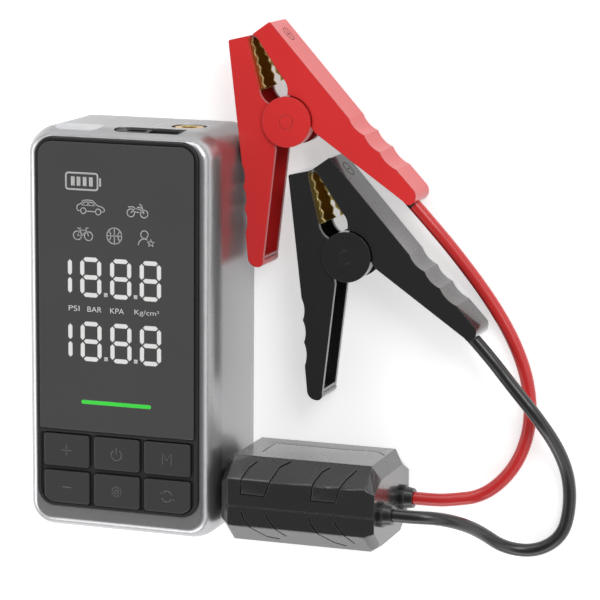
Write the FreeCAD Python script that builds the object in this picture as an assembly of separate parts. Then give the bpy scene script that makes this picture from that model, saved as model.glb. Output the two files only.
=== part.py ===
import FreeCAD, Part
import math
import os

# Jump starter pack with an air compressor, lying on its flat back, its clamp lead plugged in.
# +X runs across the pack to the lead, +Y along it to the port end, +Z up from the table.
# The origin is the centre of the pack's back. Every size is in millimetres.

V = FreeCAD.Vector
Z_AXIS = V(0, 0, 1)
Y_AXIS = V(0, 1, 0)
X_AXIS = V(1, 0, 0)

# Clearances
fit_gap = 0.2
running_gap = 0.05
moving_gap = 0.3

# Pack body
pack_width = 89.0
pack_length = 180.0
pack_depth = 54.4
side_corner = 12.0
edge_reach = 5.5
edge_depth = 14.0
wall = 2.2
cover_thick = 2.4
lip_thick = 1.2
lip_height = 2.0
front_wall = 2.2
panel_rise = 1.8

# Front panel, window and keypad
panel_side_margin = 6.5
panel_top_margin = 4.0
panel_bottom_margin = 11.3
panel_corner = 8.0
bezel_thick = 4.5
bezel_drop = 0.6
flange_reach = 0.6
flange_wall = 0.7
flange_thick = 1.6
border = 1.5
window_thick = 1.8
key_to_window = 2.2
window_opening_margin = 7.5
key_width = 21.6
key_height = 14.5
key_gap = 2.3
key_corner = 1.2
key_foot_margin = 1.6
key_clear = 0.25
key_travel = 0.4
key_flange = 0.55
key_flange_thick = 0.8
key_edge = 0.4
web_drop = 1.4
dome_radius = 3.4
mat_thick = 1.2

# Light bar and digit displays
bar_length = 32.9
bar_thick = 1.7
bar_rise = 13.2
digit_block = (-24.0, 23.5)
digit_shares = ((0.456, 0.6065), (0.236, 0.3865))
icon_sides = (-25.0, 20.0)
icon_shares = (0.6335, 0.9)
icon_wells = ((-24.0, -6.0, 0.7, 0.97), (-19.0, -4.0, 0.39, 0.64), (4.0, 16.5, 0.39, 0.64),
              (-21.0, -9.5, 0.05, 0.31), (-5.5, 5.0, 0.05, 0.31), (9.0, 19.0, 0.05, 0.31))
well_corner = 0.8
display_board_drop = 9.8
board_thick = 1.4
board_margin = 3.6
boss_radius = 2.5
boss_inset = 4.7
boss_from_top = 16.0
boss_from_end = 4.0
small_screw_radius = 1.0
small_screw_head = 2.1

# Torch lens and port bay on the +Y end
lens_span = (-33.0, -11.5)
lens_drops = (19.9, 7.2)
lens_corner = 4.5
lens_thick = 2.0
bay_span = (-5.0, 27.3)
bay_drops = (17.9, 7.2)
bay_left_corner = 5.0
bay_right_corner = 2.2
bay_sink = 0.8
bay_deep = 9.0
usb_c_x = 5.0
usb_c_size = (9.0, 3.4)
usb_a_x = 18.0
usb_a_size = (13.2, 5.8)
usb_shell = 0.4
usb_sink = 1.4
usb_overhang = 1.0
usb_c_tongue = (3.0, -0.35, 0.35)
usb_a_tongue = (5.2, 0.3, 2.0)
tongue_sink = 2.4
bay_port_drop = 0.6
end_seam_x = 9.0
end_seam_top = 36.0
end_seam_wide = 0.3
end_seam_deep = 0.3
port_board_thick = 1.4

# Air outlet and compressor
outlet_x = 23.0
outlet_drop = 18.2
outlet_recess_radius = 8.2
outlet_recess_deep = 1.6
outlet_flange_radius = 6.3
outlet_flange_thick = 1.3
outlet_bore_radius = 3.7
outlet_bore_length = 8.0
outlet_tail = 2.0
outlet_barrel_radius = 5.2
outlet_pad = 2.2
nut_radius = 7.6
nut_thick = 3.0
hose_bore_radius = 2.2
hose_wall = 1.3
nipple_length = 3.0
hose_gap = 0.5
head_thick = 7.0
cylinder_length = 20.0
bore_radius = 9.0
cylinder_wall = 2.0
fin_count = 4
fin_reach = 1.6
fin_thick = 1.2
crank_radius = 4.0
crown_thick = 6.0
crown_clear = 0.5
piston_clear = 0.15
seal_groove = 0.8
rod_length = 31.5
rod_width = 6.0
rod_thick = 5.0
rod_eye_radius = 4.5
crank_pin_radius = 2.0
crank_disc_radius = 9.0
crank_disc_thick = 3.0
crank_shaft_radius = 3.0
bearing_boss_radius = 6.0
bearing_boss_height = 1.2
frame_thick = 3.0
gear_module = 0.7
gear_teeth = 50
pinion_teeth = 12
gear_thick = 4.5
backlash = 0.1
motor_radius = 12.1
motor_floor_gap = 4.0
motor_boss_radius = 4.0
motor_shaft_radius = 1.15
frame_post_radius = 2.8
frame_post_reach = 14.5

# Battery and power board
cell_width = 36.0
cell_length_share = 0.6
cell_headroom = 2.4
cell_count = 4
cell_gap = 0.1
cell_round = 2.0
tray_wall = 1.4
tray_floor = 1.2
tray_height = 14.0
battery_inset = 12.6
power_board_sides = (0.5, 40.5)
board_to_socket = 4.2
board_to_motor = 4.75
board_post_inset = 3.2
power_board_bottom = 9.0
cover_post_radius = 2.6
capacitor_count = 3
capacitor_radius = 5.0
capacitor_height = 20.0
capacitor_pitch = 11.5
capacitor_inset = 8.0
capacitor_share = 0.235
choke_inset = 4.0
choke_width = 15.0
choke_height = 12.0
choke_shares = (0.188, 0.541)
sink_inset = 4.0
sink_size = (12.0, 10.0)
sink_slots = 4
sink_slot = 1.3
sink_floor = 2.5
cover_screw_radius = 1.5
cover_screw_head = 2.9
cover_screw_head_thick = 1.6
cover_screw_length = 14.0
post_radius = 3.6
post_inset = 7.4
post_drop = 16.0

# Jump socket and the plug that sits in it
socket_inset = 20.5
socket_z = 27.0
socket_size = (21.5, 18.6, 16.0)
plug_size = (14.8, 9.4)
plug_engaged = 15.0
plug_clear = 0.25
contact_pitch = 7.4
contact_radius = 2.4
contact_wall = 0.6
pin_engaged = 11.0
socket_skirt = 2.4
bus_bar = (8.0, 0.8)
bus_starts = (26.0, 12.0)
bus_turns = (6.0, 12.0)
bus_tab = 4.0
bus_step = 2.0

# Clamp module on the lead
module_gap = 4.0
module_length = 70.0
module_end_chamfer = 3.8
module_front_chamfer = 3.5
module_top = 19.0
module_bottom = -19.0
module_depth = 54.0
module_cut = (8.5, 9.5)
module_end_top = 12.8
module_end_bottom = -16.8
module_end_cut = (4.5, 12.0)
module_end_inset = 1.4
module_wall = 2.0
module_split_drop = 1.8
module_seam = 0.12
module_board_drop = 12.8
module_board_ends = (8.0, 16.0)
module_board_halves = (12.0, 14.0)
rail_end = 6.0
relay_span = (24.0, 52.0)
relay_halves = (9.5, 8.5)
rail_grip = 1.2
rail_side = 1.6
relay_height = 22.0
grommet_drop = 2.3
grommet_rise = 16.0
grommet_flange_radius = 5.6
grommet_flange_thick = 1.8
grommet_nose_radius = 4.3
grommet_nose_length = 3.7
grommet_neck_radius = 4.0

# Cables: the points are where the photograph shows the cables on the table
cable_radius = 2.9

# Clamps
clamp_wall = 2.2
clamp_web = 2.2
shell_depth = 20.4
disc_rise = 1.2
disc_radius = 11.1
ear_thick = 2.2
ear_overlap = 2.6
pivot_radius = 2.5
disc_skin = 1.0
disc_mark_radius = 3.0
jaw_tilt = 24.5
red_pivot = (66.9, 93.5)
clamp_step = (28.0, -57.6)
jaw_wall = 1.2
jaw_tip_y = 39.4
jaw_root_y = 17.5
jaw_lip = (0.5, 3.7)
tooth_count = 5
tooth_height = 1.0
tail_start_x = 16.4
tail_slope = 0.36
tail_top_y = 2.0
tail_end_y = -54.6
lead_out = 9.0
crimp_radius = 3.5
crimp_length = 8.0
spring_wire_radius = 0.8
spring_coil_radius = 4.8
spring_turns = 3
spring_foot = (23.8, -14.5)

# Plan of a clamp half on the cable's side, about the pivot, with the jaws along +Y
nose_inner = (1.0, 40.8)
nose_corner = ((9.6, 42.5), (10.3, 42.4), (10.7, 41.8))
grip_points = ((26.9, -9.3), (30.3, -18.4), (33.8, -27.6), (37.7, -37.3))
scallop = (0.95, 0.36)
heel_round = ((41.2, -47.6), (41.2, -51.2), (38.9, -53.4))
heel_tip = ((38.9, -53.4), (37.0, -53.6), (35.4, -51.6))
waist = (10.0, -9.2)
throat = ((4.9, 10.6), (6.4, 14.0), (5.9, 18.6))
lip_end = (2.3, 38.4)

# Worked out from the values above
half_width = pack_width / 2
half_length = pack_length / 2
rim_z = pack_depth - panel_rise
panel_left = -half_width + panel_side_margin
panel_right = half_width - panel_side_margin
panel_top = half_length - panel_top_margin
panel_bottom = -half_length + panel_bottom_margin
bezel_top = pack_depth - bezel_drop
bezel_bottom = bezel_top - bezel_thick
web_top = pack_depth - web_drop
key_pitch_x = key_width + key_gap
key_pitch_y = key_height + key_gap
key_bottom = bezel_bottom - moving_gap - key_flange_thick
key_row_low = panel_bottom + key_foot_margin + key_height / 2
window_end = key_row_low + key_pitch_y + key_height / 2 + key_to_window
bar_y = window_end + bar_rise
boss_x = panel_right - boss_inset
boss_spots = ((boss_x, panel_top - boss_from_top), (boss_x, window_end + boss_from_end))
display_board_top = pack_depth - display_board_drop
display_board_bottom = display_board_top - board_thick
lens_heights = tuple(pack_depth - drop for drop in lens_drops)
bay_heights = tuple(pack_depth - drop for drop in bay_drops)
post_height = pack_depth - post_drop - cover_thick
socket_y = -half_length + socket_inset
module_split = socket_y - module_split_drop
grommet_y = socket_y - grommet_drop
outlet_z = display_board_bottom - outlet_drop
battery_end = -half_length + battery_inset
stack_height = display_board_bottom - cell_headroom - cover_thick - tray_floor
cell_size = (cell_width, pack_length * cell_length_share, stack_height / cell_count - cell_gap)
inner_side = half_width - wall
inner_end = half_length - wall
outlet_face_y = half_length - outlet_recess_deep
outlet_inner_y = inner_end - outlet_pad
module_x = half_width + module_gap
module_end_x = module_x + module_length
crank_disc_z = outlet_z + rod_thick / 2 + 2 * moving_gap
frame_bottom_z = crank_disc_z + crank_disc_thick + moving_gap
frame_top_z = frame_bottom_z + frame_thick
gear_bottom_z = frame_top_z + bearing_boss_height + moving_gap
pitch_radius = gear_module * gear_teeth / 2
pinion_pitch_radius = gear_module * pinion_teeth / 2
outlet_barrel_y = outlet_inner_y - nut_thick - outlet_tail
head_end_y = outlet_barrel_y - 2 * nipple_length - hose_gap
cylinder_end_y = head_end_y - head_thick
cylinder_start_y = cylinder_end_y - cylinder_length
crown_top_y = cylinder_end_y - crown_clear
rod_eye_y = crown_top_y - crown_thick - rod_length
crank_y = rod_eye_y - crank_radius
motor_y = crank_y - pitch_radius - pinion_pitch_radius - backlash / 2
motor_length = frame_bottom_z - cover_thick - motor_floor_gap
power_board = (power_board_sides[0], socket_y + socket_size[1] / 2 + board_to_socket,
               power_board_sides[1], motor_y - motor_radius - board_to_motor)
clamp_depth = shell_depth + 2 * disc_rise
clamp_mid_z = clamp_depth / 2
grommet_zs = {"red": socket_z - grommet_rise, "black": socket_z + grommet_rise}

# Red cable, between its clamp's handle and its grommet
red_route = [
    (141.5, 36.5, 7.5), (155.5, 17.0, 3.2), (166.5, -1.0, 2.95), (173.0, -19.0, 2.95),
    (174.0, -38.0, 2.95), (167.5, -56.5, 2.95), (154.5, -69.5, 5.5), (139.5, -71.5, 10.0)]

# Black cable, between its clamp's handle and its grommet, over the red one
black_route = [
    (168.5, -17.5, 14.8), (180.5, -31.0, 14.8), (187.5, -44.0, 8.5), (191.5, -57.0, 3.6),
    (192.5, -71.0, 2.95), (189.5, -85.0, 2.95), (178.0, -93.0, 2.95), (164.5, -91.5, 7.5),
    (156.5, -82.5, 17.5), (150.5, -76.5, 28.5), (142.5, -72.5, 38.5)]


# Solids in general use
def block(x0, y0, z0, x1, y1, z1):
    return Part.makeBox(x1 - x0, y1 - y0, z1 - z0, V(x0, y0, z0))


def rod(x, y, z0, z1, radius):
    return Part.makeCylinder(radius, z1 - z0, V(x, y, z0), Z_AXIS)


def rod_y(x, z, y0, y1, radius):
    return Part.makeCylinder(radius, y1 - y0, V(x, y0, z), Y_AXIS)


def rod_x(y, z, x0, x1, radius):
    return Part.makeCylinder(radius, x1 - x0, V(x0, y, z), X_AXIS)


def fuse(shapes):
    whole = shapes[0].fuse(shapes[1:]) if len(shapes) > 1 else shapes[0]
    return whole.removeSplitter()


def cut(shape, tools):
    return shape.cut(tools).removeSplitter()


def rounded_outline(x0, y0, x1, y1, z, corners):
    """A rectangle whose four corner radii go round from the lower left."""
    c = corners if isinstance(corners, tuple) else (corners,) * 4
    middle = math.sqrt(0.5)
    spots = [((x0 + c[0], y0 + c[0]), c[0], 180), ((x1 - c[1], y0 + c[1]), c[1], 270),
             ((x1 - c[2], y1 - c[2]), c[2], 0), ((x0 + c[3], y1 - c[3]), c[3], 90)]
    edges = []
    ends = []
    for (cx, cy), radius, start in spots:
        turn = [math.radians(start + step) for step in (0, 45, 90)]
        arc = [V(cx + radius * math.cos(a), cy + radius * math.sin(a), z) for a in turn]
        ends.append((arc[0], arc[2]))
        if radius * middle > 0.01:
            edges.append(Part.Arc(*arc).toShape())
        else:
            edges.append(None)
    wire = []
    for i in range(4):
        if edges[i] is not None:
            wire.append(edges[i])
        wire.append(Part.makeLine(ends[i][1], ends[(i + 1) % 4][0]))
    return Part.Wire(wire)


def plate(x0, y0, x1, y1, z0, z1, corners=0.0):
    """A flat piece with rounded corners, thick along Z."""
    face = Part.Face(rounded_outline(x0, y0, x1, y1, z0, corners))
    return face.extrude(V(0, 0, z1 - z0))


def end_plate(x0, z0, x1, z1, y0, y1, corners=0.0):
    """The same, thick along Y."""
    piece = plate(x0, z0, x1, z1, 0, y1 - y0, corners)
    piece.rotate(V(0, 0, 0), X_AXIS, 90)
    piece.translate(V(0, y1, 0))
    return piece


def polygon(points, z0, z1):
    corners = [V(x, y, z0) for x, y in points]
    return Part.Face(Part.makePolygon(corners + corners[:1])).extrude(V(0, 0, z1 - z0))


def soft_body(width, length, corner, z0, z1):
    """The pack's outside: square at the back, with a deep elliptical rounding round the front."""
    side = z1 - edge_depth
    lower = plate(-width / 2, -length / 2, width / 2, length / 2, z0, side, corner)
    sections = []
    for quarter in range(5):
        angle = math.radians(22.5 * quarter)
        inset = edge_reach * (1 - math.cos(angle))
        z = side + edge_depth * math.sin(angle)
        sections.append(rounded_outline(-width / 2 + inset, -length / 2 + inset, width / 2 - inset,
                                        length / 2 - inset, z, corner - inset))
    return fuse([lower, Part.makeLoft(sections, True, False)])


def panel_plate(inset, z0, z1):
    """The front panel's outline, drawn in by an inset."""
    return plate(panel_left + inset, panel_bottom + inset, panel_right - inset, panel_top - inset,
                 z0, z1, panel_corner - inset)


# Pack housing
def post_spots():
    x = half_width - post_inset
    y = half_length - post_inset
    return [(-x, -y), (x, -y), (x, y), (-x, y)]


def front_housing():
    """The silver tub: side walls, soft front edge, and the rim round the panel."""
    shell = soft_body(pack_width, pack_length, side_corner, cover_thick, rim_z)
    hollow = soft_body(pack_width - 2 * wall, pack_length - 2 * wall, side_corner - wall,
                       cover_thick - 1, rim_z - front_wall)
    shell = cut(shell, [hollow])
    posts = [rod(x, y, cover_thick, cover_thick + post_height, post_radius)
             for x, y in post_spots()]
    posts = [post.common(hollow) for post in posts]
    pad = rod_y(outlet_x, outlet_z, outlet_inner_y, inner_end + wall / 2, outlet_recess_radius + 1.2)
    shell = fuse([shell, pad] + posts)
    pilots = [rod(x, y, cover_thick - 1, cover_screw_length + 1, cover_screw_radius + running_gap)
              for x, y in post_spots()]
    openings = [
        panel_plate(-fit_gap, rim_z - edge_depth, rim_z + 1),
        end_plate(lens_span[0] - fit_gap, lens_heights[0] - fit_gap, lens_span[1] + fit_gap,
                  lens_heights[1] + fit_gap, inner_end - 5, half_length + 1, lens_corner),
        end_plate(bay_span[0] - fit_gap, bay_heights[0] - fit_gap, bay_span[1] + fit_gap,
                  bay_heights[1] + fit_gap, inner_end - 5, half_length + 1,
                  (bay_left_corner, bay_right_corner, bay_right_corner, bay_left_corner)),
        rod_y(outlet_x, outlet_z, outlet_face_y, half_length + 1, outlet_recess_radius),
        rod_y(outlet_x, outlet_z, inner_end - 5, half_length + 1, outlet_barrel_radius + fit_gap),
        block(inner_side - 1, socket_y - socket_size[1] / 2 - fit_gap,
              socket_z - socket_size[2] / 2 - fit_gap, half_width + 1,
              socket_y + socket_size[1] / 2 + fit_gap, socket_z + socket_size[2] / 2 + fit_gap),
        block(end_seam_x - end_seam_wide / 2, half_length - end_seam_deep, 0,
              end_seam_x + end_seam_wide / 2, half_length + 1, end_seam_top)]
    return cut(shell, pilots + openings)


def rear_cover():
    """The flat back, with its locating lip and the posts that carry the works."""
    back = plate(-half_width, -half_length, half_width, half_length, 0, cover_thick, side_corner)
    lip_out = wall + fit_gap
    lip = plate(-half_width + lip_out, -half_length + lip_out, half_width - lip_out,
                half_length - lip_out, cover_thick, cover_thick + lip_height, side_corner - lip_out)
    lip_in = lip_out + lip_thick
    lip_hollow = plate(-half_width + lip_in, -half_length + lip_in, half_width - lip_in,
                       half_length - lip_in, cover_thick, cover_thick + lip_height,
                       side_corner - lip_in)
    lip = cut(lip, [lip_hollow] + [rod(x, y, 0, cover_thick + lip_height, post_radius + fit_gap)
                                   for x, y in post_spots()])
    carriers = [rod(x, y, cover_thick, frame_bottom_z, frame_post_radius)
                for x, y in frame_spots()]
    carriers += [rod(x, y, cover_thick, power_board_bottom, cover_post_radius)
                 for x, y in power_board_spots()]
    back = fuse([back, lip] + carriers)
    holes = [rod(x, y, -1, cover_thick + 1, cover_screw_radius + fit_gap) for x, y in post_spots()]
    holes += [rod(x, y, -1, cover_screw_head_thick, cover_screw_head + fit_gap)
              for x, y in post_spots()]
    holes += [rod(x, y, frame_bottom_z - 6, frame_bottom_z + 1, small_screw_radius + running_gap)
              for x, y in frame_spots()]
    return cut(back, holes)


def cover_screws():
    """The screws through the back into the housing's posts."""
    screws = []
    for x, y in post_spots():
        head = rod(x, y, fit_gap, cover_screw_head_thick, cover_screw_head)
        socket = rod(x, y, 0, 1.0, cover_screw_radius * 0.7)
        shank = rod(x, y, cover_screw_head_thick, cover_screw_length, cover_screw_radius)
        screws.append(cut(fuse([head, shank]), [socket]))
    return screws


# Front panel
def key_outline(column, row, grow, z0, z1):
    """One key's plan; the two outer keys of the lower row follow the panel's corner."""
    x = column * key_pitch_x
    y = key_row_low + row * key_pitch_y
    w = key_width / 2 + grow
    h = key_height / 2 + grow
    square = plate(x - w, y - h, x + w, y + h, z0, z1, key_corner + max(grow, 0))
    if row == 0 and column != 0:
        inset = key_foot_margin - grow
        field = plate(-1.5 * key_pitch_x - grow, panel_bottom + inset, 1.5 * key_pitch_x + grow,
                      panel_top, z0, z1, panel_corner - key_foot_margin + grow)
        return square.common(field)
    return square


def front_bezel():
    """Black frame of the panel: border, cross bar, and the sunk webs between the keys."""
    body = panel_plate(0, bezel_bottom, bezel_top)
    flange = panel_plate(-flange_reach, bezel_bottom - flange_thick, bezel_bottom)
    flange = cut(flange, [panel_plate(flange_wall, bezel_bottom - flange_thick, bezel_bottom)])
    roof = soft_body(pack_width - 2 * (wall + fit_gap), pack_length - 2 * (wall + fit_gap),
                     side_corner - wall, cover_thick, rim_z - front_wall - fit_gap)
    flange = flange.common(roof)
    bosses = [rod(sign * x, y, display_board_top, bezel_bottom, boss_radius)
              for x, y in boss_spots for sign in (-1, 1)]
    body = fuse([body, flange] + bosses)
    window = window_plate(-fit_gap / 2, pack_depth - window_thick, pack_depth + 1)
    light_well = plate(panel_left + window_opening_margin, window_end + window_opening_margin,
                       panel_right - window_opening_margin, panel_top - window_opening_margin,
                       bezel_bottom - 1, pack_depth, 2.0)
    web_field = plate(panel_left + border, panel_bottom + key_foot_margin - key_clear,
                      panel_right - border, window_end - border, web_top, pack_depth,
                      (panel_corner - border, panel_corner - border, key_corner, key_corner))
    cuts = [window, light_well, web_field]
    cuts += [key_outline(column, row, key_clear, bezel_bottom - 1, pack_depth)
             for row in (0, 1) for column in (-1, 0, 1)]
    cuts += [rod(sign * x, y, display_board_top - 1, bezel_bottom - 0.5,
                 small_screw_radius + running_gap) for x, y in boss_spots for sign in (-1, 1)]
    return cut(body, cuts)


def window_plate(inset, z0, z1):
    edge = border + inset
    return plate(panel_left + edge, window_end + inset, panel_right - edge, panel_top - edge,
                 z0, z1, (1.0, 1.0, panel_corner - edge, panel_corner - edge))


def bar_plate(grow, z0, z1):
    half = bar_length / 2 + grow
    rise = bar_thick / 2 + grow
    return plate(-half, bar_y - rise, half, bar_y + rise, z0, z1, rise * 0.98)


def display_window():
    window = window_plate(fit_gap / 2, pack_depth - window_thick, pack_depth)
    return cut(window, [bar_plate(fit_gap / 2, 0, pack_depth + 1)])


def status_light_bar():
    """Light guide that ends flush in the window."""
    return bar_plate(0, display_board_top + fit_gap, pack_depth)


def key(column, row):
    """A key cap with its retaining flange below the bezel."""
    cap = key_outline(column, row, 0, key_bottom, pack_depth - 0.1)
    top_edges = [e for e in cap.Edges if e.BoundBox.ZMin > pack_depth - 0.11]
    cap = cap.makeFillet(key_edge, top_edges)
    flange = key_outline(column, row, key_flange, key_bottom, key_bottom + key_flange_thick)
    return fuse([cap, flange])


def key_mat():
    """Silicone sheet with one dome under each key."""
    span = 1.5 * key_pitch_x - key_gap
    sheet = plate(-span, key_row_low - key_height / 2 + 2, span,
                  key_row_low + key_pitch_y + key_height / 2 - 1.5, display_board_top,
                  display_board_top + mat_thick, 2.0)
    dome_top = key_bottom - key_travel - running_gap
    domes = [Part.makeCone(dome_radius + 1.2, dome_radius, dome_top - display_board_top,
                           V(column * key_pitch_x, key_row_low + row * key_pitch_y,
                             display_board_top), Z_AXIS)
             for row in (0, 1) for column in (-1, 0, 1)]
    return fuse([sheet] + domes)


def window_share(share):
    """A height on the window, from 0 at its lower end to 1 at the panel's top."""
    return window_end + share * (panel_top - window_end)


def digit_displays():
    """Two blocks of seven-segment digits under the window."""
    return Part.makeCompound([
        plate(digit_block[0], window_share(low), digit_block[1], window_share(high),
              display_board_top, pack_depth - window_thick - moving_gap, 0.5)
        for low, high in digit_shares])


def icon_light_box():
    """A frame with one light well per icon."""
    y0, y1 = (window_share(share) for share in icon_shares)
    top = pack_depth - window_thick - moving_gap
    body = plate(icon_sides[0], y0, icon_sides[1], y1, display_board_top, top, well_corner)
    return cut(body, [plate(left, y0 + low * (y1 - y0), right, y0 + high * (y1 - y0),
                            display_board_top - 1, top + 1, well_corner)
                      for left, right, low, high in icon_wells])


def display_board():
    """Board behind the window, with holes for its four screws."""
    x = -panel_left - board_margin
    board = plate(-x, key_row_low - key_height / 2, x, boss_spots[0][1] + boss_radius + 1.5,
                  display_board_top - board_thick, display_board_top, 2.0)
    return cut(board, [rod(sign * bx, by, 0, pack_depth, small_screw_radius + fit_gap)
                       for bx, by in boss_spots for sign in (-1, 1)])


def small_screw(x, y, seat_z, length, way):
    """A small pan-head screw; way is +1 with its head above the seat, -1 with it below."""
    head = rod(x, y, min(seat_z, seat_z + way * 1.4), max(seat_z, seat_z + way * 1.4),
               small_screw_head)
    shank = rod(x, y, min(seat_z, seat_z - way * length), max(seat_z, seat_z - way * length),
                small_screw_radius)
    return fuse([head, shank])


def board_screws():
    seat = display_board_top - board_thick
    return [small_screw(sign * x, y, seat, board_thick + 3.5, -1)
            for x, y in boss_spots for sign in (-1, 1)]


# Port end
def torch_lens():
    """Clear cover of the torch, flush with the soft edge of the housing."""
    outside = soft_body(pack_width, pack_length, side_corner, 0, rim_z)
    inside = soft_body(pack_width - 2 * lens_thick, pack_length - 2 * lens_thick,
                       side_corner - lens_thick, -1, rim_z - lens_thick)
    prism = end_plate(lens_span[0], lens_heights[0], lens_span[1], lens_heights[1],
                      inner_end - 5, half_length + 1, lens_corner - fit_gap)
    return prism.common(cut(outside, [inside]))


def torch_reflector():
    """Bright tray behind the lens with three cups."""
    y1 = inner_end - lens_thick - 0.1
    y0 = y1 - 4.0
    x0, x1 = lens_span[0] + 0.6, lens_span[1] - 0.6
    z0, z1 = lens_heights[0] + 0.6, lens_heights[1] - 1.0
    tray = end_plate(x0, z0, x1, z1, y0, y1, 2.5)
    pitch = (x1 - x0) / 3
    cups = [Part.makeCone(1.6, 3.0, 3.2, V(x0 + pitch * (i + 0.5), y1 - 3.1, (z0 + z1) / 2), Y_AXIS)
            for i in range(3)]
    return cut(tray, cups)


def torch_board():
    y1 = inner_end - lens_thick - 0.1 - 4.0
    board = end_plate(lens_span[0] + 0.6, lens_heights[0] - 8.0, lens_span[1] - 0.6,
                      lens_heights[1] - 1.0, y1 - board_thick, y1, 1.0)
    return board


def torch_light():
    """Reflector tray with the board of its lamps behind it."""
    return Part.makeCompound([torch_reflector(), torch_board()])


def port_bay():
    """Black insert of the ports, sunk a little into the end."""
    outside = soft_body(pack_width - 2 * bay_sink, pack_length - 2 * bay_sink,
                        side_corner - bay_sink, 0, rim_z - bay_sink)
    prism = end_plate(bay_span[0], bay_heights[0], bay_span[1], bay_heights[1],
                      half_length - bay_deep, half_length + 1,
                      (bay_left_corner - fit_gap, bay_right_corner - fit_gap,
                       bay_right_corner - fit_gap, bay_left_corner - fit_gap))
    insert = prism.common(outside)
    mid = bay_mid_z()
    pockets = [end_plate(x - w / 2 - fit_gap, mid - h / 2 - fit_gap, x + w / 2 + fit_gap,
                         mid + h / 2 + fit_gap, half_length - bay_deep - 1, half_length + 1, r)
               for x, w, h, r in ((usb_c_x, usb_c_size[0], usb_c_size[1], usb_c_size[1] / 2),
                                  (usb_a_x, usb_a_size[0], usb_a_size[1], 0.3))]
    return cut(insert, pockets)


def bay_mid_z():
    return (bay_heights[0] + bay_heights[1]) / 2 - bay_port_drop


def usb_shell_piece(x, size, corner):
    """A metal receptacle shell with its contact tongue."""
    width, height = size
    mid = bay_mid_z()
    y0 = half_length - bay_deep - usb_overhang
    y1 = half_length - bay_sink - usb_sink
    shell = end_plate(x - width / 2, mid - height / 2, x + width / 2, mid + height / 2, y0, y1, corner)
    hollow = end_plate(x - width / 2 + usb_shell, mid - height / 2 + usb_shell,
                       x + width / 2 - usb_shell, mid + height / 2 - usb_shell,
                       y0 + 1.0, y1 + 1, max(corner - usb_shell, 0.1))
    return cut(shell, [hollow])


def usb_socket(x, size, corner, tongue):
    """A receptacle; its tongue is given by its half width, low and high side."""
    half, low, high = tongue
    strip = block(x - half, half_length - bay_deep - usb_overhang / 2, bay_mid_z() + low,
                  x + half, half_length - bay_sink - tongue_sink, bay_mid_z() + high)
    return fuse([usb_shell_piece(x, size, corner), strip])


def usb_c_socket():
    return usb_socket(usb_c_x, usb_c_size, usb_c_size[1] / 2 - 0.02, usb_c_tongue)


def usb_a_socket():
    return usb_socket(usb_a_x, usb_a_size, 0.3, usb_a_tongue)


def usb_sockets():
    return Part.makeCompound([usb_c_socket(), usb_a_socket()])


def port_board():
    return block(bay_span[0], half_length - bay_deep - 6.0, bay_heights[0] - port_board_thick,
                 bay_span[1] - 1.0, inner_end - 0.5, bay_heights[0])


# Air path and compressor
def air_outlet():
    """Brass outlet with a threaded mouth, clamped through the end wall."""
    flange = rod_y(outlet_x, outlet_z, outlet_face_y, outlet_face_y + outlet_flange_thick,
                   outlet_flange_radius)
    barrel = rod_y(outlet_x, outlet_z, outlet_barrel_y, outlet_face_y, outlet_barrel_radius)
    barb = rod_y(outlet_x, outlet_z, outlet_barrel_y - nipple_length, outlet_barrel_y,
                 hose_bore_radius)
    mouth = rod_y(outlet_x, outlet_z, outlet_face_y + outlet_flange_thick - outlet_bore_length,
                  half_length + 1, outlet_bore_radius)
    way = rod_y(outlet_x, outlet_z, head_end_y, half_length + 1, hose_bore_radius / 2)
    return cut(fuse([flange, barrel, barb]), [mouth, way])


def outlet_nut():
    corners = [(nut_radius * math.cos(math.radians(60 * i)), nut_radius * math.sin(math.radians(60 * i)))
               for i in range(6)]
    nut = polygon(corners, 0, nut_thick)
    nut = cut(nut, [rod(0, 0, -1, nut_thick + 1, outlet_barrel_radius + running_gap)])
    nut.rotate(V(0, 0, 0), X_AXIS, 90)
    nut.translate(V(outlet_x, outlet_inner_y, outlet_z))
    return nut


def air_tube():
    """Silicone tube from the cylinder head to the outlet."""
    y0 = head_end_y + fit_gap / 2
    y1 = outlet_barrel_y - fit_gap / 2
    tube = rod_y(outlet_x, outlet_z, y0, y1, hose_bore_radius + hose_wall)
    return cut(tube, [rod_y(outlet_x, outlet_z, y0 - 1, y1 + 1, hose_bore_radius + running_gap)])


def cylinder_head():
    body = end_plate(outlet_x - 12.5, outlet_z - 12.0, outlet_x + 12.5, outlet_z + 12.0,
                     cylinder_end_y, head_end_y, 3.0)
    nipple = rod_y(outlet_x, outlet_z, head_end_y, head_end_y + nipple_length, hose_bore_radius)
    way = rod_y(outlet_x, outlet_z, cylinder_end_y - 1, outlet_inner_y, hose_bore_radius / 2)
    return cut(fuse([body, nipple]), [way])


def pump_cylinder():
    """Finned barrel with a square foot."""
    outer = bore_radius + cylinder_wall
    barrel = rod_y(outlet_x, outlet_z, cylinder_start_y, cylinder_end_y, outer)
    foot = end_plate(outlet_x - 12.5, outlet_z - 12.0, outlet_x + 12.5, outlet_z + 12.0,
                     cylinder_start_y, cylinder_start_y + 2.0, 3.0)
    pitch = (cylinder_length - 2.0) / (fin_count + 0.5)
    fins = [rod_y(outlet_x, outlet_z, cylinder_start_y + 2.0 + pitch * (i + 0.7),
                  cylinder_start_y + 2.0 + pitch * (i + 0.7) + fin_thick, outer + fin_reach)
            for i in range(fin_count)]
    bore = rod_y(outlet_x, outlet_z, cylinder_start_y - 1, cylinder_end_y + 1, bore_radius)
    return cut(fuse([barrel, foot] + fins), [bore])


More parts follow.
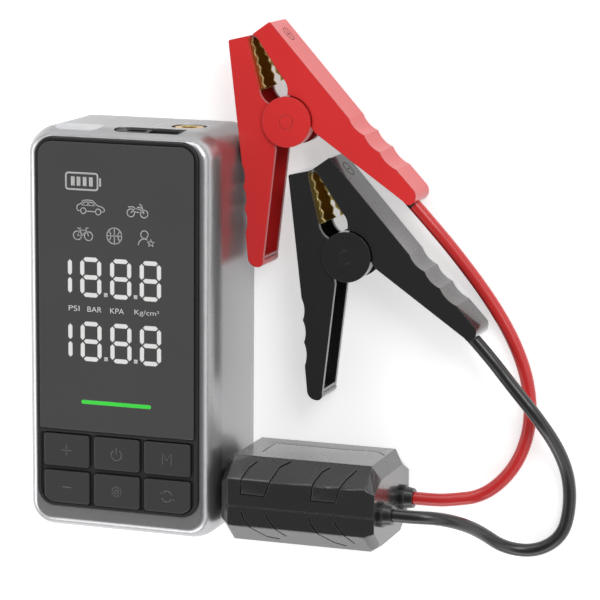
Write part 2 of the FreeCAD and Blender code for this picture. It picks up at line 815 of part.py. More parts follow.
def piston():
    """Crown with its seal groove, rod, and the crank pin, which ends short of the crank disc."""
    crown = rod_y(outlet_x, outlet_z, crown_top_y - crown_thick, crown_top_y,
                  bore_radius - piston_clear)
    groove = cut(rod_y(outlet_x, outlet_z, crown_top_y - 3.2, crown_top_y - 1.6, bore_radius),
                 [rod_y(outlet_x, outlet_z, crown_top_y - 3.2, crown_top_y - 1.6,
                        bore_radius - seal_groove)])
    shank = block(outlet_x - rod_width / 2, rod_eye_y, outlet_z - rod_thick / 2,
                  outlet_x + rod_width / 2, crown_top_y - crown_thick, outlet_z + rod_thick / 2)
    eye = rod(outlet_x, rod_eye_y, outlet_z - rod_thick / 2, outlet_z + rod_thick / 2,
              rod_eye_radius)
    pin = rod(outlet_x, rod_eye_y, outlet_z, crank_disc_z - moving_gap, crank_pin_radius)
    return cut(fuse([crown, shank, eye, pin]), [groove])


def crank_shaft():
    """Shaft with the crank disc below the frame; the disc is cut away to balance it."""
    disc_top = crank_disc_z + crank_disc_thick
    disc = rod(outlet_x, crank_y, crank_disc_z, disc_top, crank_disc_radius)
    relief = [rod(outlet_x + sign * 5.5, crank_y + 2.0, crank_disc_z - 1, disc_top + 1, 1.8)
              for sign in (-1, 1)]
    shaft = rod(outlet_x, crank_y, disc_top, gear_bottom_z + gear_thick + 0.4,
                crank_shaft_radius)
    return fuse([cut(disc, relief), shaft])


def involute_flank(base, start, stop, steps):
    """Points of an involute, as (radius, angle), between two radii."""
    points = []
    for i in range(steps + 1):
        radius = start + (stop - start) * i / steps
        reach = max(radius / base, 1.0)
        roll = math.sqrt(reach * reach - 1)
        points.append((radius, roll - math.atan(roll)))
    return points


def gear_blank(teeth, x, y, z0, z1, phase, thin):
    """A spur gear with involute flanks and shortened tips; phase turns it in degrees."""
    pitch = gear_module * teeth / 2
    base = pitch * math.cos(math.radians(20))
    tip = pitch + 0.75 * gear_module
    root = pitch - 1.05 * gear_module
    half_tooth = math.pi / (2 * teeth) - thin / (2 * pitch)
    roll = math.tan(math.radians(20)) - math.radians(20)
    flank = involute_flank(base, max(base, root), tip, 3)
    points = []
    for tooth in range(teeth):
        centre = 2 * math.pi * tooth / teeth + math.radians(phase)
        side = [(r, half_tooth + roll - a) for r, a in flank]
        if root < base:
            side.insert(0, (root, side[0][1]))
        for r, a in side:
            points.append((x + r * math.cos(centre - a), y + r * math.sin(centre - a)))
        for r, a in reversed(side):
            points.append((x + r * math.cos(centre + a), y + r * math.sin(centre + a)))
    return polygon(points, z0, z1)


def crank_gear():
    """Large gear on top of the frame; a tooth points at the pinion."""
    gear = gear_blank(gear_teeth, outlet_x, crank_y, gear_bottom_z, gear_bottom_z + gear_thick,
                      -90, backlash)
    windows = [rod(outlet_x + 10.5 * math.cos(math.radians(90 * i + 45)),
                   crank_y + 10.5 * math.sin(math.radians(90 * i + 45)),
                   0, pack_depth, 3.6) for i in range(4)]
    return cut(gear, windows + [rod(outlet_x, crank_y, 0, pack_depth,
                                    crank_shaft_radius + running_gap)])


def motor_pinion():
    """Small gear on the motor's shaft; a gap between its teeth faces the large gear."""
    pinion = gear_blank(pinion_teeth, outlet_x, motor_y, gear_bottom_z,
                        gear_bottom_z + gear_thick, 90 + 180 / pinion_teeth, backlash)
    shaft = rod(outlet_x, motor_y, frame_bottom_z - motor_length + 3,
                gear_bottom_z + gear_thick + 0.5, motor_shaft_radius)
    return fuse([pinion, shaft])


def motor_can():
    """Motor hung under the frame, with its boss through the frame."""
    can = rod(outlet_x, motor_y, frame_bottom_z - motor_length, frame_bottom_z, motor_radius)
    boss = rod(outlet_x, motor_y, frame_bottom_z, frame_top_z - 0.5, motor_boss_radius)
    bore = rod(outlet_x, motor_y, frame_bottom_z - motor_length + 2, frame_top_z,
               motor_shaft_radius + running_gap)
    return cut(fuse([can, boss]), [bore])


def frame_spots():
    """The four posts that carry the compressor's frame."""
    return [(outlet_x + sx * frame_post_reach, y)
            for sx in (-1, 1) for y in (motor_y - 10.5, cylinder_start_y - 8.0)]


def gearbox_frame():
    """Cast plate for motor, crank and cylinder, turned down at the cylinder's end."""
    spots = frame_spots()
    x0 = outlet_x - frame_post_reach - 3.0
    x1 = outlet_x + frame_post_reach + 3.0
    table = plate(x0, spots[0][1] - 3.2, x1, cylinder_start_y, frame_bottom_z, frame_top_z, 3.0)
    wall_z0 = outlet_z - 12.0
    bracket = block(outlet_x - 12.5, cylinder_start_y - 3.0, wall_z0, outlet_x + 12.5,
                    cylinder_start_y, frame_bottom_z)
    boss = rod(outlet_x, crank_y, frame_top_z, frame_top_z + bearing_boss_height,
               bearing_boss_radius)
    frame = fuse([table, bracket, boss])
    holes = [rod_y(outlet_x, outlet_z, cylinder_start_y - 5, cylinder_start_y + 1, 6.2),
             rod(outlet_x, crank_y, 0, pack_depth, crank_shaft_radius + running_gap),
             rod(outlet_x, motor_y, 0, pack_depth, motor_boss_radius + fit_gap)]
    holes += [rod(x, y, 0, pack_depth, small_screw_radius + fit_gap) for x, y in spots]
    return cut(frame, holes)


def frame_screws():
    return [small_screw(x, y, frame_top_z, frame_thick + 5.0, 1) for x, y in frame_spots()]


def screws():
    """Every screw of the pack: the cover's, the display board's and the compressor's."""
    return Part.makeCompound(cover_screws() + board_screws() + frame_screws())


# Battery and power board
def cell_origin():
    return -inner_side + lip_thick + 2 * fit_gap + tray_wall, battery_end + tray_wall


def cell_tray():
    """Open tray that holds the stack of cells on the back."""
    x0, y0 = cell_origin()
    x0, y0 = x0 - tray_wall, y0 - tray_wall
    x1 = x0 + cell_size[0] + 2 * tray_wall + 2 * cell_gap
    y1 = y0 + cell_size[1] + 2 * tray_wall + 2 * cell_gap
    tray = plate(x0, y0, x1, y1, cover_thick, cover_thick + tray_floor + tray_height, 1.6)
    hollow = block(x0 + tray_wall, y0 + tray_wall, cover_thick + tray_floor, x1 - tray_wall,
                   y1 - tray_wall, pack_depth)
    return cut(tray, [hollow])


def battery_cells():
    """A stack of flat pouch cells with rounded long edges."""
    x0, y0 = cell_origin()
    cells = []
    for index in range(cell_count):
        z0 = cover_thick + tray_floor + index * (cell_size[2] + cell_gap)
        body = block(x0 + cell_gap, y0 + cell_gap, z0, x0 + cell_gap + cell_size[0],
                     y0 + cell_gap + cell_size[1], z0 + cell_size[2])
        long_edges = [e for e in body.Edges if abs(e.BoundBox.YLength - cell_size[1]) < 0.01]
        cells.append(body.makeFillet(cell_round, long_edges))
    return Part.makeCompound(cells)


def cell_board():
    """Protection board standing at the foot of the stack."""
    x0, y0 = cell_origin()
    y1 = y0 - tray_wall - fit_gap
    top = cover_thick + tray_floor + cell_count * (cell_size[2] + cell_gap) - 2.0
    return block(x0 + 8.0, y1 - board_thick, cover_thick + tray_floor, x0 + cell_size[0] - 2.0, y1, top)


def bus_bars():
    """Two copper straps from the protection board to the jump socket."""
    x0, y0 = cell_origin()
    face_y = y0 - tray_wall - fit_gap - board_thick
    tall, thick = bus_bar
    z0, z1 = socket_z - tall / 2, socket_z + tall / 2
    end_x = half_width - socket_size[0] - 0.1
    near_y = socket_y + contact_pitch / 2 - thick / 2
    far_y = socket_y - contact_pitch / 2 - thick / 2
    turn_near, turn_far = bus_turns
    near = fuse([block(x0 + bus_starts[0], face_y - thick, z0, turn_near + thick, face_y, z1),
                 block(turn_near, face_y - thick, z0, turn_near + thick, near_y + thick, z1),
                 block(turn_near, near_y, z0, end_x, near_y + thick, z1)])
    low = face_y - bus_step
    far_x = x0 + bus_starts[1]
    far = fuse([block(far_x, low - thick, z0, far_x + bus_tab, face_y, z1),
                block(far_x, low - thick, z0, turn_far + thick, low, z1),
                block(turn_far, low - thick, z0, turn_far + thick, far_y + thick, z1),
                block(turn_far, far_y, z0, end_x, far_y + thick, z1)])
    return Part.makeCompound([near, far])


def power_board_spots():
    x0, y0, x1, y1 = power_board
    inset = board_post_inset
    return [(x, y) for x in (x0 + inset, x1 - inset) for y in (y0 + inset, y1 - inset)]


def main_board():
    x0, y0, x1, y1 = power_board
    return plate(x0, y0, x1, y1, power_board_bottom, power_board_bottom + board_thick, 1.0)


def board_parts():
    """Capacitors, a choke and the heat sink of the switches on the power board."""
    x0, y0, x1, y1 = power_board
    seat = power_board_bottom + board_thick
    long = y1 - y0
    parts = [rod(x0 + capacitor_inset + capacitor_pitch * i, y1 - capacitor_share * long, seat,
                 seat + capacitor_height, capacitor_radius) for i in range(capacitor_count)]
    low, high = (y0 + share * long for share in choke_shares)
    parts.append(plate(x0 + choke_inset, low, x0 + choke_inset + choke_width, high, seat,
                       seat + choke_height, 2.0))
    sink_x1 = x1 - sink_inset
    sink_x0 = sink_x1 - sink_size[0]
    sink = block(sink_x0, low, seat, sink_x1, high, seat + sink_size[1])
    pitch = sink_size[0] / (sink_slots + 0.5)
    sink = cut(sink, [block(sink_x0 + pitch * (i + 0.5), y0, seat + sink_floor,
                            sink_x0 + pitch * (i + 0.5) + sink_slot, y1, seat + sink_size[1] + 1)
                      for i in range(sink_slots)])
    parts.append(sink)
    return Part.makeCompound(parts)


# Jump socket and plug
def jump_socket():
    """Socket housing in the side wall, with the deep well that takes the plug."""
    length, tall, deep = socket_size
    x1 = half_width
    x0 = x1 - length
    body = block(x0, socket_y - tall / 2, socket_z - deep / 2, x1, socket_y + tall / 2,
                 socket_z + deep / 2)
    w, h = plug_size[0] / 2 + plug_clear, plug_size[1] / 2 + plug_clear
    well = block(x1 - plug_engaged - plug_clear, socket_y - w, socket_z - h, x1 + 1,
                 socket_y + w, socket_z + h)
    seats = [rod_x(socket_y + sign * contact_pitch / 2, socket_z, x0 - 1, x1,
                   contact_radius - contact_wall + running_gap) for sign in (-1, 1)]
    return cut(body, [well] + seats)


def socket_contacts():
    """Two gold pins that stand in the well."""
    x0 = half_width - socket_size[0] - 0.1
    return Part.makeCompound([
        rod_x(socket_y + sign * contact_pitch / 2, socket_z, x0,
              half_width - plug_engaged - plug_clear + pin_engaged, contact_radius - contact_wall)
        for sign in (-1, 1)])


def plug_body():
    """Plug nose in the socket, and the collar that meets the module."""
    x0 = half_width - plug_engaged
    w, h = plug_size[0] / 2, plug_size[1] / 2
    nose = block(x0, socket_y - w, socket_z - h, module_x, socket_y + w, socket_z + h)
    collar = block(half_width + 1.0, socket_y - w - 2.0, socket_z - h - 3.0, module_x,
                   socket_y + w + 2.0, socket_z + h + 3.0)
    tail = block(module_x, socket_y - w + 1, socket_z - h + 1, module_x + module_wall + 3.0,
                 socket_y + w - 1, socket_z + h - 1)
    bores = [rod_x(socket_y + sign * contact_pitch / 2, socket_z, x0 - 1,
                   module_x + module_wall + 4.0, contact_radius + running_gap) for sign in (-1, 1)]
    return cut(fuse([nose, collar, tail]), bores)


def plug_contacts():
    """Two spring barrels in the plug that grip the socket's pins."""
    barrels = []
    for sign in (-1, 1):
        y = socket_y + sign * contact_pitch / 2
        barrel = rod_x(y, socket_z, half_width - plug_engaged + 0.5, module_x + 4.0, contact_radius)
        bore = rod_x(y, socket_z, half_width - plug_engaged, half_width - plug_engaged
                     + pin_engaged + 2.0, contact_radius - contact_wall + 0.1)
        barrels.append(cut(barrel, [bore]))
    return Part.makeCompound(barrels)


# Module on the lead
def octagon(x, low, high, back, front, top_cut, bottom_cut):
    """Section of the module at x: its corners are cut by (along Y, along Z)."""
    points = [(high, back + top_cut[1]), (high, front - top_cut[1]), (high - top_cut[0], front),
              (low + bottom_cut[0], front), (low, front - bottom_cut[1]),
              (low, back + bottom_cut[1]), (low + bottom_cut[0], back), (high - top_cut[0], back)]
    corners = [V(x, socket_y + y, z) for y, z in points]
    return Part.makePolygon(corners + corners[:1])


def module_sections(shrink):
    """The four stations of the module, drawn in by the wall for its hollow."""
    s = shrink
    cut_in = (module_cut[0] - 0.4 * s, module_cut[1] - 0.4 * s)
    end_top = (module_end_cut[0], module_cut[1] + 1.0)
    end_bottom = (8.0, module_end_cut[1])
    plug_end = octagon(module_x + s, -16.5 + s, 16.5 - s, 2.5 + s, module_depth - 2.5 - s,
                       cut_in, cut_in)
    main_a = octagon(module_x + module_front_chamfer, module_bottom + s, module_top - s, s,
                     module_depth - s, cut_in, cut_in)
    main_b = octagon(module_end_x - module_end_chamfer, module_bottom + s, module_top - s, s,
                     module_depth - s, cut_in, cut_in)
    far_end = octagon(module_end_x - s, module_end_bottom + s, module_end_top - s,
                      module_end_inset + s, module_depth - module_end_inset - s, end_top, end_bottom)
    return plug_end, main_a, main_b, far_end


def module_solid(shrink):
    a, b, c, d = module_sections(shrink)
    return fuse([Part.makeLoft([a, b], True, True), Part.makeLoft([b, c], True, True),
                 Part.makeLoft([c, d], True, True)])


def module_shell(y0, y1):
    """One of the two halves of the module, split along its length, with a rail for the board."""
    shell = cut(module_solid(0), [module_solid(module_wall)])
    x0, by0, bz0, x1, by1, bz1 = module_board_box()
    rails = [block(x0 + rail_end, a, bz0 - rail_side, x1 - rail_end, b, bz1 + rail_side)
             for a, b in ((socket_y + module_bottom, by0 + rail_grip),
                          (by1 - rail_grip, socket_y + module_top))]
    shell = fuse([shell] + [rail.common(module_solid(module_wall / 2)) for rail in rails])
    w, h = plug_size[0] / 2 - 1 + fit_gap, plug_size[1] / 2 - 1 + fit_gap
    holes = [block(module_x - 1, socket_y - w, socket_z - h, module_x + module_wall + 1,
                   socket_y + w, socket_z + h)]
    holes += [rod_x(grommet_y, z, module_end_x - module_wall - 1, module_end_x + 1,
                    grommet_neck_radius + fit_gap / 2) for z in grommet_zs.values()]
    holes.append(block(x0, by0 - fit_gap / 2, bz0 - fit_gap / 2, x1, by1 + fit_gap / 2,
                       bz1 + fit_gap / 2))
    half = block(module_x - 5, y0, -5, module_end_x + 5, y1, module_depth + 5)
    return cut(shell, holes).common(half)


def module_upper_shell():
    return module_shell(module_split + module_seam / 2, 0)


def module_lower_shell():
    return module_shell(-pack_length, module_split - module_seam / 2)


def module_board_box():
    z0 = socket_z - module_board_drop
    return (module_x + module_board_ends[0], module_split - module_board_halves[0], z0,
            module_end_x - module_board_ends[1], module_split + module_board_halves[1],
            z0 + board_thick)


def module_board():
    """Board of the safety switch, held by the rails of the two halves."""
    return block(*module_board_box())


def module_relay():
    """Relay that connects the clamps, on the board."""
    seat = module_board_box()[5]
    return plate(module_x + relay_span[0], socket_y - relay_halves[0], module_x + relay_span[1],
                 socket_y + relay_halves[1], seat, seat + relay_height, 1.0)


def module_works():
    return Part.makeCompound([module_board(), module_relay()])


def grommet(z):
    """Rubber bush that clips into the module's end wall."""
    x = module_end_x
    flange = rod_x(grommet_y, z, x, x + grommet_flange_thick, grommet_flange_radius)
    nose = Part.makeCone(grommet_flange_radius - 0.6, grommet_nose_radius, grommet_nose_length,
                         V(x + grommet_flange_thick, grommet_y, z), X_AXIS)
    neck = rod_x(grommet_y, z, x - module_wall - 0.2, x, grommet_neck_radius)
    inner = rod_x(grommet_y, z, x - module_wall - 1.8, x - module_wall - 0.2,
                  grommet_flange_radius - 0.8)
    bore = rod_x(grommet_y, z, x - 10, x + 10, cable_radius + running_gap)
    return cut(fuse([flange, nose, neck, inner]), [bore])


def grommet_mouth_x():
    return module_end_x + grommet_flange_thick + grommet_nose_length


def cable_ends():
    """The stretches of cable inside the module's grommets and inside the clamps' handles."""
    inner = [rod_x(grommet_y, z, module_end_x - 14.0, grommet_mouth_x(), cable_radius)
             for z in grommet_zs.values()]
    outer = [place_clamp(tail_solid(cable_radius, tail_end_y, tail_top_y + crimp_length), name)
             for name in grommet_zs]
    return Part.makeCompound(inner + outer)


# Free cables
def tube_along(points, radius, name):
    """A tube on straight runs joined by tangent arcs, as large as the runs allow."""
    nodes = [V(*p) for p in points]
    cuts = [0.0]
    radii = []
    for a, b, c in zip(nodes, nodes[1:], nodes[2:]):
        before, after = b - a, c - b
        turn = before.getAngle(after)
        reach = 0.45 * min(before.Length, after.Length)
        cuts.append(reach)
        radii.append(reach / math.tan(turn / 2))
    cuts.append(0.0)
    edges = []
    start = nodes[0]
    length = 0.0
    for i in range(1, len(nodes)):
        way = (nodes[i] - nodes[i - 1]).normalize()
        stop = nodes[i] - way * cuts[i]
        edges.append(Part.LineSegment(start, stop).toShape())
        if i < len(nodes) - 1:
            out = (nodes[i + 1] - nodes[i]).normalize()
            leave = nodes[i] + out * cuts[i]
            inward = (out - way).normalize()
            half_turn = way.getAngle(out) / 2
            bend = radii[i - 1]
            centre = nodes[i] + inward * (bend / math.cos(half_turn))
            middle = centre - inward * bend
            edges.append(Part.Arc(stop, middle, leave).toShape())
            start = leave
    length = sum(e.Length for e in edges)
    circle = Part.Wire(Part.makeCircle(radius, nodes[0], nodes[1] - nodes[0]))
    tube = Part.Wire(edges).makePipeShell([circle], True, False)
    expected = math.pi * radius * radius * length
    print(name, "length %.1f, least radius %.1f, volume ratio %.4f"
          % (length, min(radii), tube.Volume / expected))
    print("   radii", " ".join("%.0f" % r for r in radii))
    return tube


def clamp_point(name, x, y):
    """A point of a clamp's own plan, in the model's frame."""
    step = 0 if name == "red" else 1
    turn = math.radians(jaw_tilt)
    px = red_pivot[0] + step * clamp_step[0]
    py = red_pivot[1] + step * clamp_step[1]
    return (px + x * math.cos(turn) - y * math.sin(turn), py + x * math.sin(turn) + y * math.cos(turn))


def cable(name, route):
    """A free cable; it leaves the handle and the grommet in line with its ends inside them."""
    tail_x = tail_start_x - tail_slope * tail_end_y
    reach = lead_out / math.hypot(1, tail_slope)
    start = clamp_point(name, tail_x, tail_end_y) + (clamp_mid_z,)
    leave = clamp_point(name, tail_x + tail_slope * reach, tail_end_y - reach) + (clamp_mid_z,)
    end = (grommet_mouth_x(), grommet_y, grommet_zs[name])
    arrive = (end[0] + lead_out, end[1], end[2])
    print(name, "leaves at", [round(c, 2) for c in leave], "from", [round(c, 2) for c in start])
    return tube_along([start, leave] + route + [arrive, end], cable_radius, name + "_cable")


# Clamps
def place_clamp(piece, name):
    """Turns a clamp's own plan to its place on the table."""
    step = 0 if name == "red" else 1
    piece.rotate(V(0, 0, 0), Z_AXIS, jaw_tilt)
    piece.translate(V(red_pivot[0] + step * clamp_step[0], red_pivot[1] + step * clamp_step[1], 0))
    return piece


def half_outline(side, z):
    """Plan of one half: jaw, scalloped grip and rounded end; side +1 is the cable's half."""
    def at(x, y):
        return V(side * x, y, z)

    def arc(a, m, b):
        return Part.Arc(at(*a), at(*m), at(*b)).toShape()

    def line(a, b):
        return Part.makeLine(at(*a), at(*b))

    edges = [line(nose_inner, nose_corner[0]), arc(*nose_corner),
             line(nose_corner[2], grip_points[0])]
    for a, b in zip(grip_points, grip_points[1:]):
        middle = ((a[0] + b[0]) / 2 - scallop[0], (a[1] + b[1]) / 2 - scallop[1])
        edges.append(arc(a, middle, b))
    edges += [line(grip_points[-1], heel_round[0]), arc(*heel_round), arc(*heel_tip),
              line(heel_tip[2], waist), line(waist, throat[0]), arc(*throat),
              line(throat[2], lip_end), line(lip_end, nose_inner)]
    return Part.Wire(edges)


def half_plate(side, z0, z1):
    return Part.Face(half_outline(side, z0)).extrude(V(0, 0, z1 - z0))


def half_hollow(side):
    """The inside of a half: its plan drawn in by the web, and opened towards the other half."""
    z0 = disc_rise + clamp_wall
    z1 = disc_rise + shell_depth - clamp_wall
    inset = Part.Face(half_outline(side, z0)).makeOffset2D(-clamp_web)
    core = inset.extrude(V(0, 0, z1 - z0))
    steps = [core.copy() for _ in range(3)]
    for i, piece in enumerate(steps):
        piece.translate(V(-side * 2.4 * i, 0, 0))
    return fuse(steps)


def clamp_half(side):
    """A U-shaped half, open towards the other half, without its ears."""
    shell = half_plate(side, disc_rise, disc_rise + shell_depth)
    return cut(shell, [half_hollow(side)])


def level_pairs(low, high):
    """The same slab on the lower and the upper side of the clamp."""
    return [(low, high), (clamp_depth - high, clamp_depth - low)]


def moving_handle(name):
    """Half without the cable; its round ears lie outside."""
    body = clamp_half(-1)
    ears = [rod(0, 0, z0, z1, disc_radius) for z0, z1 in level_pairs(0, disc_rise + clamp_wall)]
    pin_hole = rod(0, 0, disc_skin - fit_gap, clamp_depth - disc_skin + fit_gap,
                   pivot_radius + running_gap)
    marks = [cut(rod(0, 0, z0, z1, disc_mark_radius + 0.12),
                 [rod(0, 0, z0 - 1, z1 + 1, disc_mark_radius - 0.12)])
             for z0, z1 in ((clamp_depth - 0.2, clamp_depth + 1), (-1, 0.2))]
    return place_clamp(cut(fuse([body] + ears), [pin_hole] + marks), name)


def fixed_handle(name):
    """Half that holds the cable; its ears step in under the other half's."""
    body = clamp_half(1)
    clear = disc_radius + moving_gap + fit_gap
    body = cut(body, [rod(0, 0, -1, clamp_depth + 1, clear)])
    ear_low = disc_rise + clamp_wall + moving_gap
    ears = []
    for z0, z1 in level_pairs(ear_low, ear_low + ear_thick):
        ears.append(rod(0, 0, z0, z1, disc_radius))
        ears.append(rod(0, 0, z0, z1, clear + ear_overlap).common(half_plate(1, z0, z1)))
    for z0, z1 in level_pairs(disc_rise, ear_low + ear_thick):
        ring = rod(0, 0, z0, z1, clear + ear_overlap).common(half_plate(1, z0, z1))
        ears.append(cut(ring, [rod(0, 0, z0 - 1, z1 + 1, clear)]))
    body = fuse([body] + ears)
    tail = tail_solid(cable_radius + running_gap, tail_end_y - 5, tail_end_y + 12)
    pin_hole = rod(0, 0, -1, clamp_depth + 1, pivot_radius + running_gap)
    return place_clamp(cut(body, [tail, pin_hole]), name)


def tail_solid(radius, y0, y1):
    """A straight round piece on the line of the cable inside the handle."""
    a = V(tail_start_x - tail_slope * y0, y0, clamp_mid_z)
    b = V(tail_start_x - tail_slope * y1, y1, clamp_mid_z)
    return Part.makeCylinder(radius, (b - a).Length, a, b - a)


def jaw_back_x(y, inset):
    """The inside of the handle's web at a height along the jaw."""
    tip, foot = nose_corner[2], grip_points[0]
    slope = (foot[0] - tip[0]) / (tip[1] - foot[1])
    return tip[0] + (tip[1] - y) * slope - clamp_web * math.hypot(1, slope) - fit_gap - inset


def jaw_plan(side, inset, z0, z1):
    """Plan of a jaw: teeth towards the other jaw, its back along the web."""
    def back_x(y):
        return jaw_back_x(y, inset)

    points = []
    run = jaw_tip_y - jaw_root_y
    for i in range(2 * tooth_count + 1):
        y = jaw_root_y + run * i / (2 * tooth_count)
        x = jaw_lip[1] + (jaw_lip[0] - jaw_lip[1]) * i / (2 * tooth_count)
        points.append((side * (x + (tooth_height if i % 2 else 0)), y))
    if inset:
        points = [(side * -2.0, jaw_root_y - 1), (side * -2.0, jaw_tip_y + 1)]
        points += [(side * back_x(jaw_tip_y + 1), jaw_tip_y + 1),
                   (side * back_x(jaw_root_y - 1), jaw_root_y - 1)]
    else:
        points += [(side * back_x(jaw_tip_y), jaw_tip_y), (side * back_x(jaw_root_y), jaw_root_y)]
    return polygon(points, z0, z1)


def jaw(name, side):
    """Copper-plated channel with a toothed edge on each side wall."""
    z0 = disc_rise + clamp_wall + moving_gap
    z1 = clamp_depth - z0
    body = jaw_plan(side, 0, z0, z1)
    channel = jaw_plan(side, jaw_wall, z0 + jaw_wall, z1 - jaw_wall)
    body = cut(body, [channel])
    if side == 1:
        crimp = cut(tail_solid(crimp_radius, tail_top_y, tail_top_y + crimp_length + 1),
                    [tail_solid(cable_radius + running_gap, tail_top_y - 1,
                                tail_top_y + crimp_length)])
        tongue = crimp_tongue()
        body = fuse([body, crimp, tongue])
    return place_clamp(body, name)


def crimp_tongue():
    """Strip that joins the crimp to the back of the jaw."""
    def back_x(y):
        return jaw_back_x(y, 0)

    low = tail_top_y + crimp_length + 1.3
    high = jaw_root_y + 1.0
    points = [(back_x(high), high), (back_x(high) - jaw_wall, high),
              (back_x(low) - jaw_wall - 2.6, low), (back_x(low) - 0.2, low)]
    return polygon(points, clamp_mid_z - 2.6, clamp_mid_z + 2.6)


def pivot_pin(name):
    return place_clamp(rod(0, 0, disc_skin, clamp_depth - disc_skin, pivot_radius), name)


def biarc(p0, t0, p1, t1):
    """Two arcs from p0 along t0 to p1 along t1."""
    gap = p1 - p0
    both = t0 + t1
    spare = 2 * (1 - t0.dot(t1))
    reach = (-gap.dot(both) + math.sqrt(gap.dot(both) ** 2 + spare * gap.dot(gap))) / spare
    join = ((p0 + t0 * reach) + (p1 - t1 * reach)) * 0.5
    arcs = []
    for a, tangent, b in ((p0, t0, join), (p1, t1 * -1, join)):
        chord = b - a
        along = V(chord).normalize()
        across = tangent - along * tangent.dot(along)
        lift = chord.Length / 2 * math.tan(tangent.getAngle(chord) / 2)
        middle = (a + b) * 0.5 + across.normalize() * lift
        arcs.append((a, middle, b))
    return [Part.Arc(*arcs[0]).toShape(), Part.Arc(*reversed(arcs[1])).toShape()]


def clamp_spring(name):
    """Torsion spring round the pivot, one leg in each handle."""
    foot = V(spring_foot[0], spring_foot[1], 0)
    lean = math.degrees(math.acos(spring_coil_radius / foot.Length))
    leave = math.degrees(math.atan2(foot.y, foot.x)) + lean
    sweep = 360 * spring_turns + 2 * (90 - leave)
    bottom = disc_rise + clamp_wall + 2 * moving_gap + ear_thick + spring_wire_radius
    ear_reach = disc_radius + moving_gap + fit_gap + ear_overlap
    leg_by_ears = math.sqrt(ear_reach ** 2 - spring_coil_radius ** 2)
    around = 2 * math.pi * spring_coil_radius
    climb = (clamp_depth - 2 * bottom) / (around * sweep / 360 + 2 * leg_by_ears)
    low = bottom + climb * leg_by_ears
    rise = climb * around / 360

    def coil(turned):
        angle = math.radians(180 - leave - turned)
        return V(spring_coil_radius * math.cos(angle), spring_coil_radius * math.sin(angle),
                 low + rise * turned)

    def tangent(turned):
        angle = math.radians(180 - leave - turned)
        return V(math.sin(angle), -math.cos(angle), climb).normalize()

    quarters = int(math.ceil(sweep / 90))
    stops = [sweep * i / quarters for i in range(quarters + 1)]
    edges = []
    for a, b in zip(stops, stops[1:]):
        edges += biarc(coil(a), tangent(a), coil(b), tangent(b))
    leg = math.sqrt(foot.Length ** 2 - spring_coil_radius ** 2)
    first = coil(0) - tangent(0) * leg
    last = coil(sweep) + tangent(sweep) * leg
    edges = [Part.makeLine(first, coil(0))] + edges + [Part.makeLine(coil(sweep), last)]
    circle = Part.Wire(Part.makeCircle(spring_wire_radius, first, tangent(0)))
    spring = Part.Wire(edges).makePipeShell([circle], True, False)
    print(name + "_spring gap between turns %.2f" % (360 * rise - 2 * spring_wire_radius))
    return place_clamp(spring, name)


def build():
    parts = {
        "front_housing": front_housing(), "rear_cover": rear_cover(), "screws": screws(),
        "front_bezel": front_bezel(), "display_window": display_window(),
        "status_light_bar": status_light_bar(), "key_mat": key_mat(),
        "icon_light_box": icon_light_box(), "digit_displays": digit_displays(),
        "display_board": display_board(), "torch_lens": torch_lens(),
        "torch_light": torch_light(), "port_bay": port_bay(), "usb_sockets": usb_sockets(),
        "port_board": port_board(), "air_outlet": air_outlet(), "outlet_nut": outlet_nut(),
        "air_tube": air_tube(), "cylinder_head": cylinder_head(),
        "pump_cylinder": pump_cylinder(), "piston": piston(), "crank_shaft": crank_shaft(),
        "crank_gear": crank_gear(), "motor_pinion": motor_pinion(), "motor_can": motor_can(),
        "gearbox_frame": gearbox_frame(), "cell_tray": cell_tray(),
        "battery_cells": battery_cells(), "cell_board": cell_board(), "bus_bars": bus_bars(),
        "main_board": main_board(), "board_parts": board_parts(),
        "jump_socket": jump_socket(), "socket_contacts": socket_contacts(),
        "plug_body": plug_body(), "plug_contacts": plug_contacts(),
        "module_upper_shell": module_upper_shell(), "module_lower_shell": module_lower_shell(),
        "module_board": module_works(), "cable_ends": cable_ends()}
    key_names = {(-1, 1): "key_plus", (0, 1): "key_power", (1, 1): "key_mode",
                 (-1, 0): "key_minus", (0, 0): "key_light", (1, 0): "key_reset"}
    for (column, row), name in key_names.items():
        parts[name] = key(column, row)
    for name, route in (("red", red_route), ("black", black_route)):
        parts[name + "_grommet"] = grommet(grommet_zs[name])
        parts[name + "_cable"] = cable(name, route)
        parts[name + "_fixed_handle"] = fixed_handle(name)
        parts[name + "_moving_handle"] = moving_handle(name)
        parts[name + "_fixed_jaw"] = jaw(name, 1)
        parts[name + "_moving_jaw"] = jaw(name, -1)
    parts["pivot_pins"] = Part.makeCompound([pivot_pin(name) for name in grommet_zs])
    parts["clamp_springs"] = Part.makeCompound([clamp_spring(name) for name in grommet_zs])
    return parts


def main():
    os.makedirs("parts", exist_ok=True)
    parts = build()
    for name, shape in parts.items():
        print("%-22s solids %d valid %s volume %.0f" % (name, len(shape.Solids), shape.isValid(),
                                                        shape.Volume))
        shape.exportStep("parts/%s.step" % name)
    print(len(parts), "parts")


main()
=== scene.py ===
# %% [markdown]
# A jump starter pack lies on its back with its clamp lead plugged in beside it.
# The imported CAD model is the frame: its pieces stay where they are, and this script gives them
# their finishes, printed marks, cables, light and camera. One unit is a metre, so sizes that
# are written in millimetres are multiplied by MM.

# %% Load the frame
import bpy
import bmesh
import math
from mathutils import Matrix, Vector


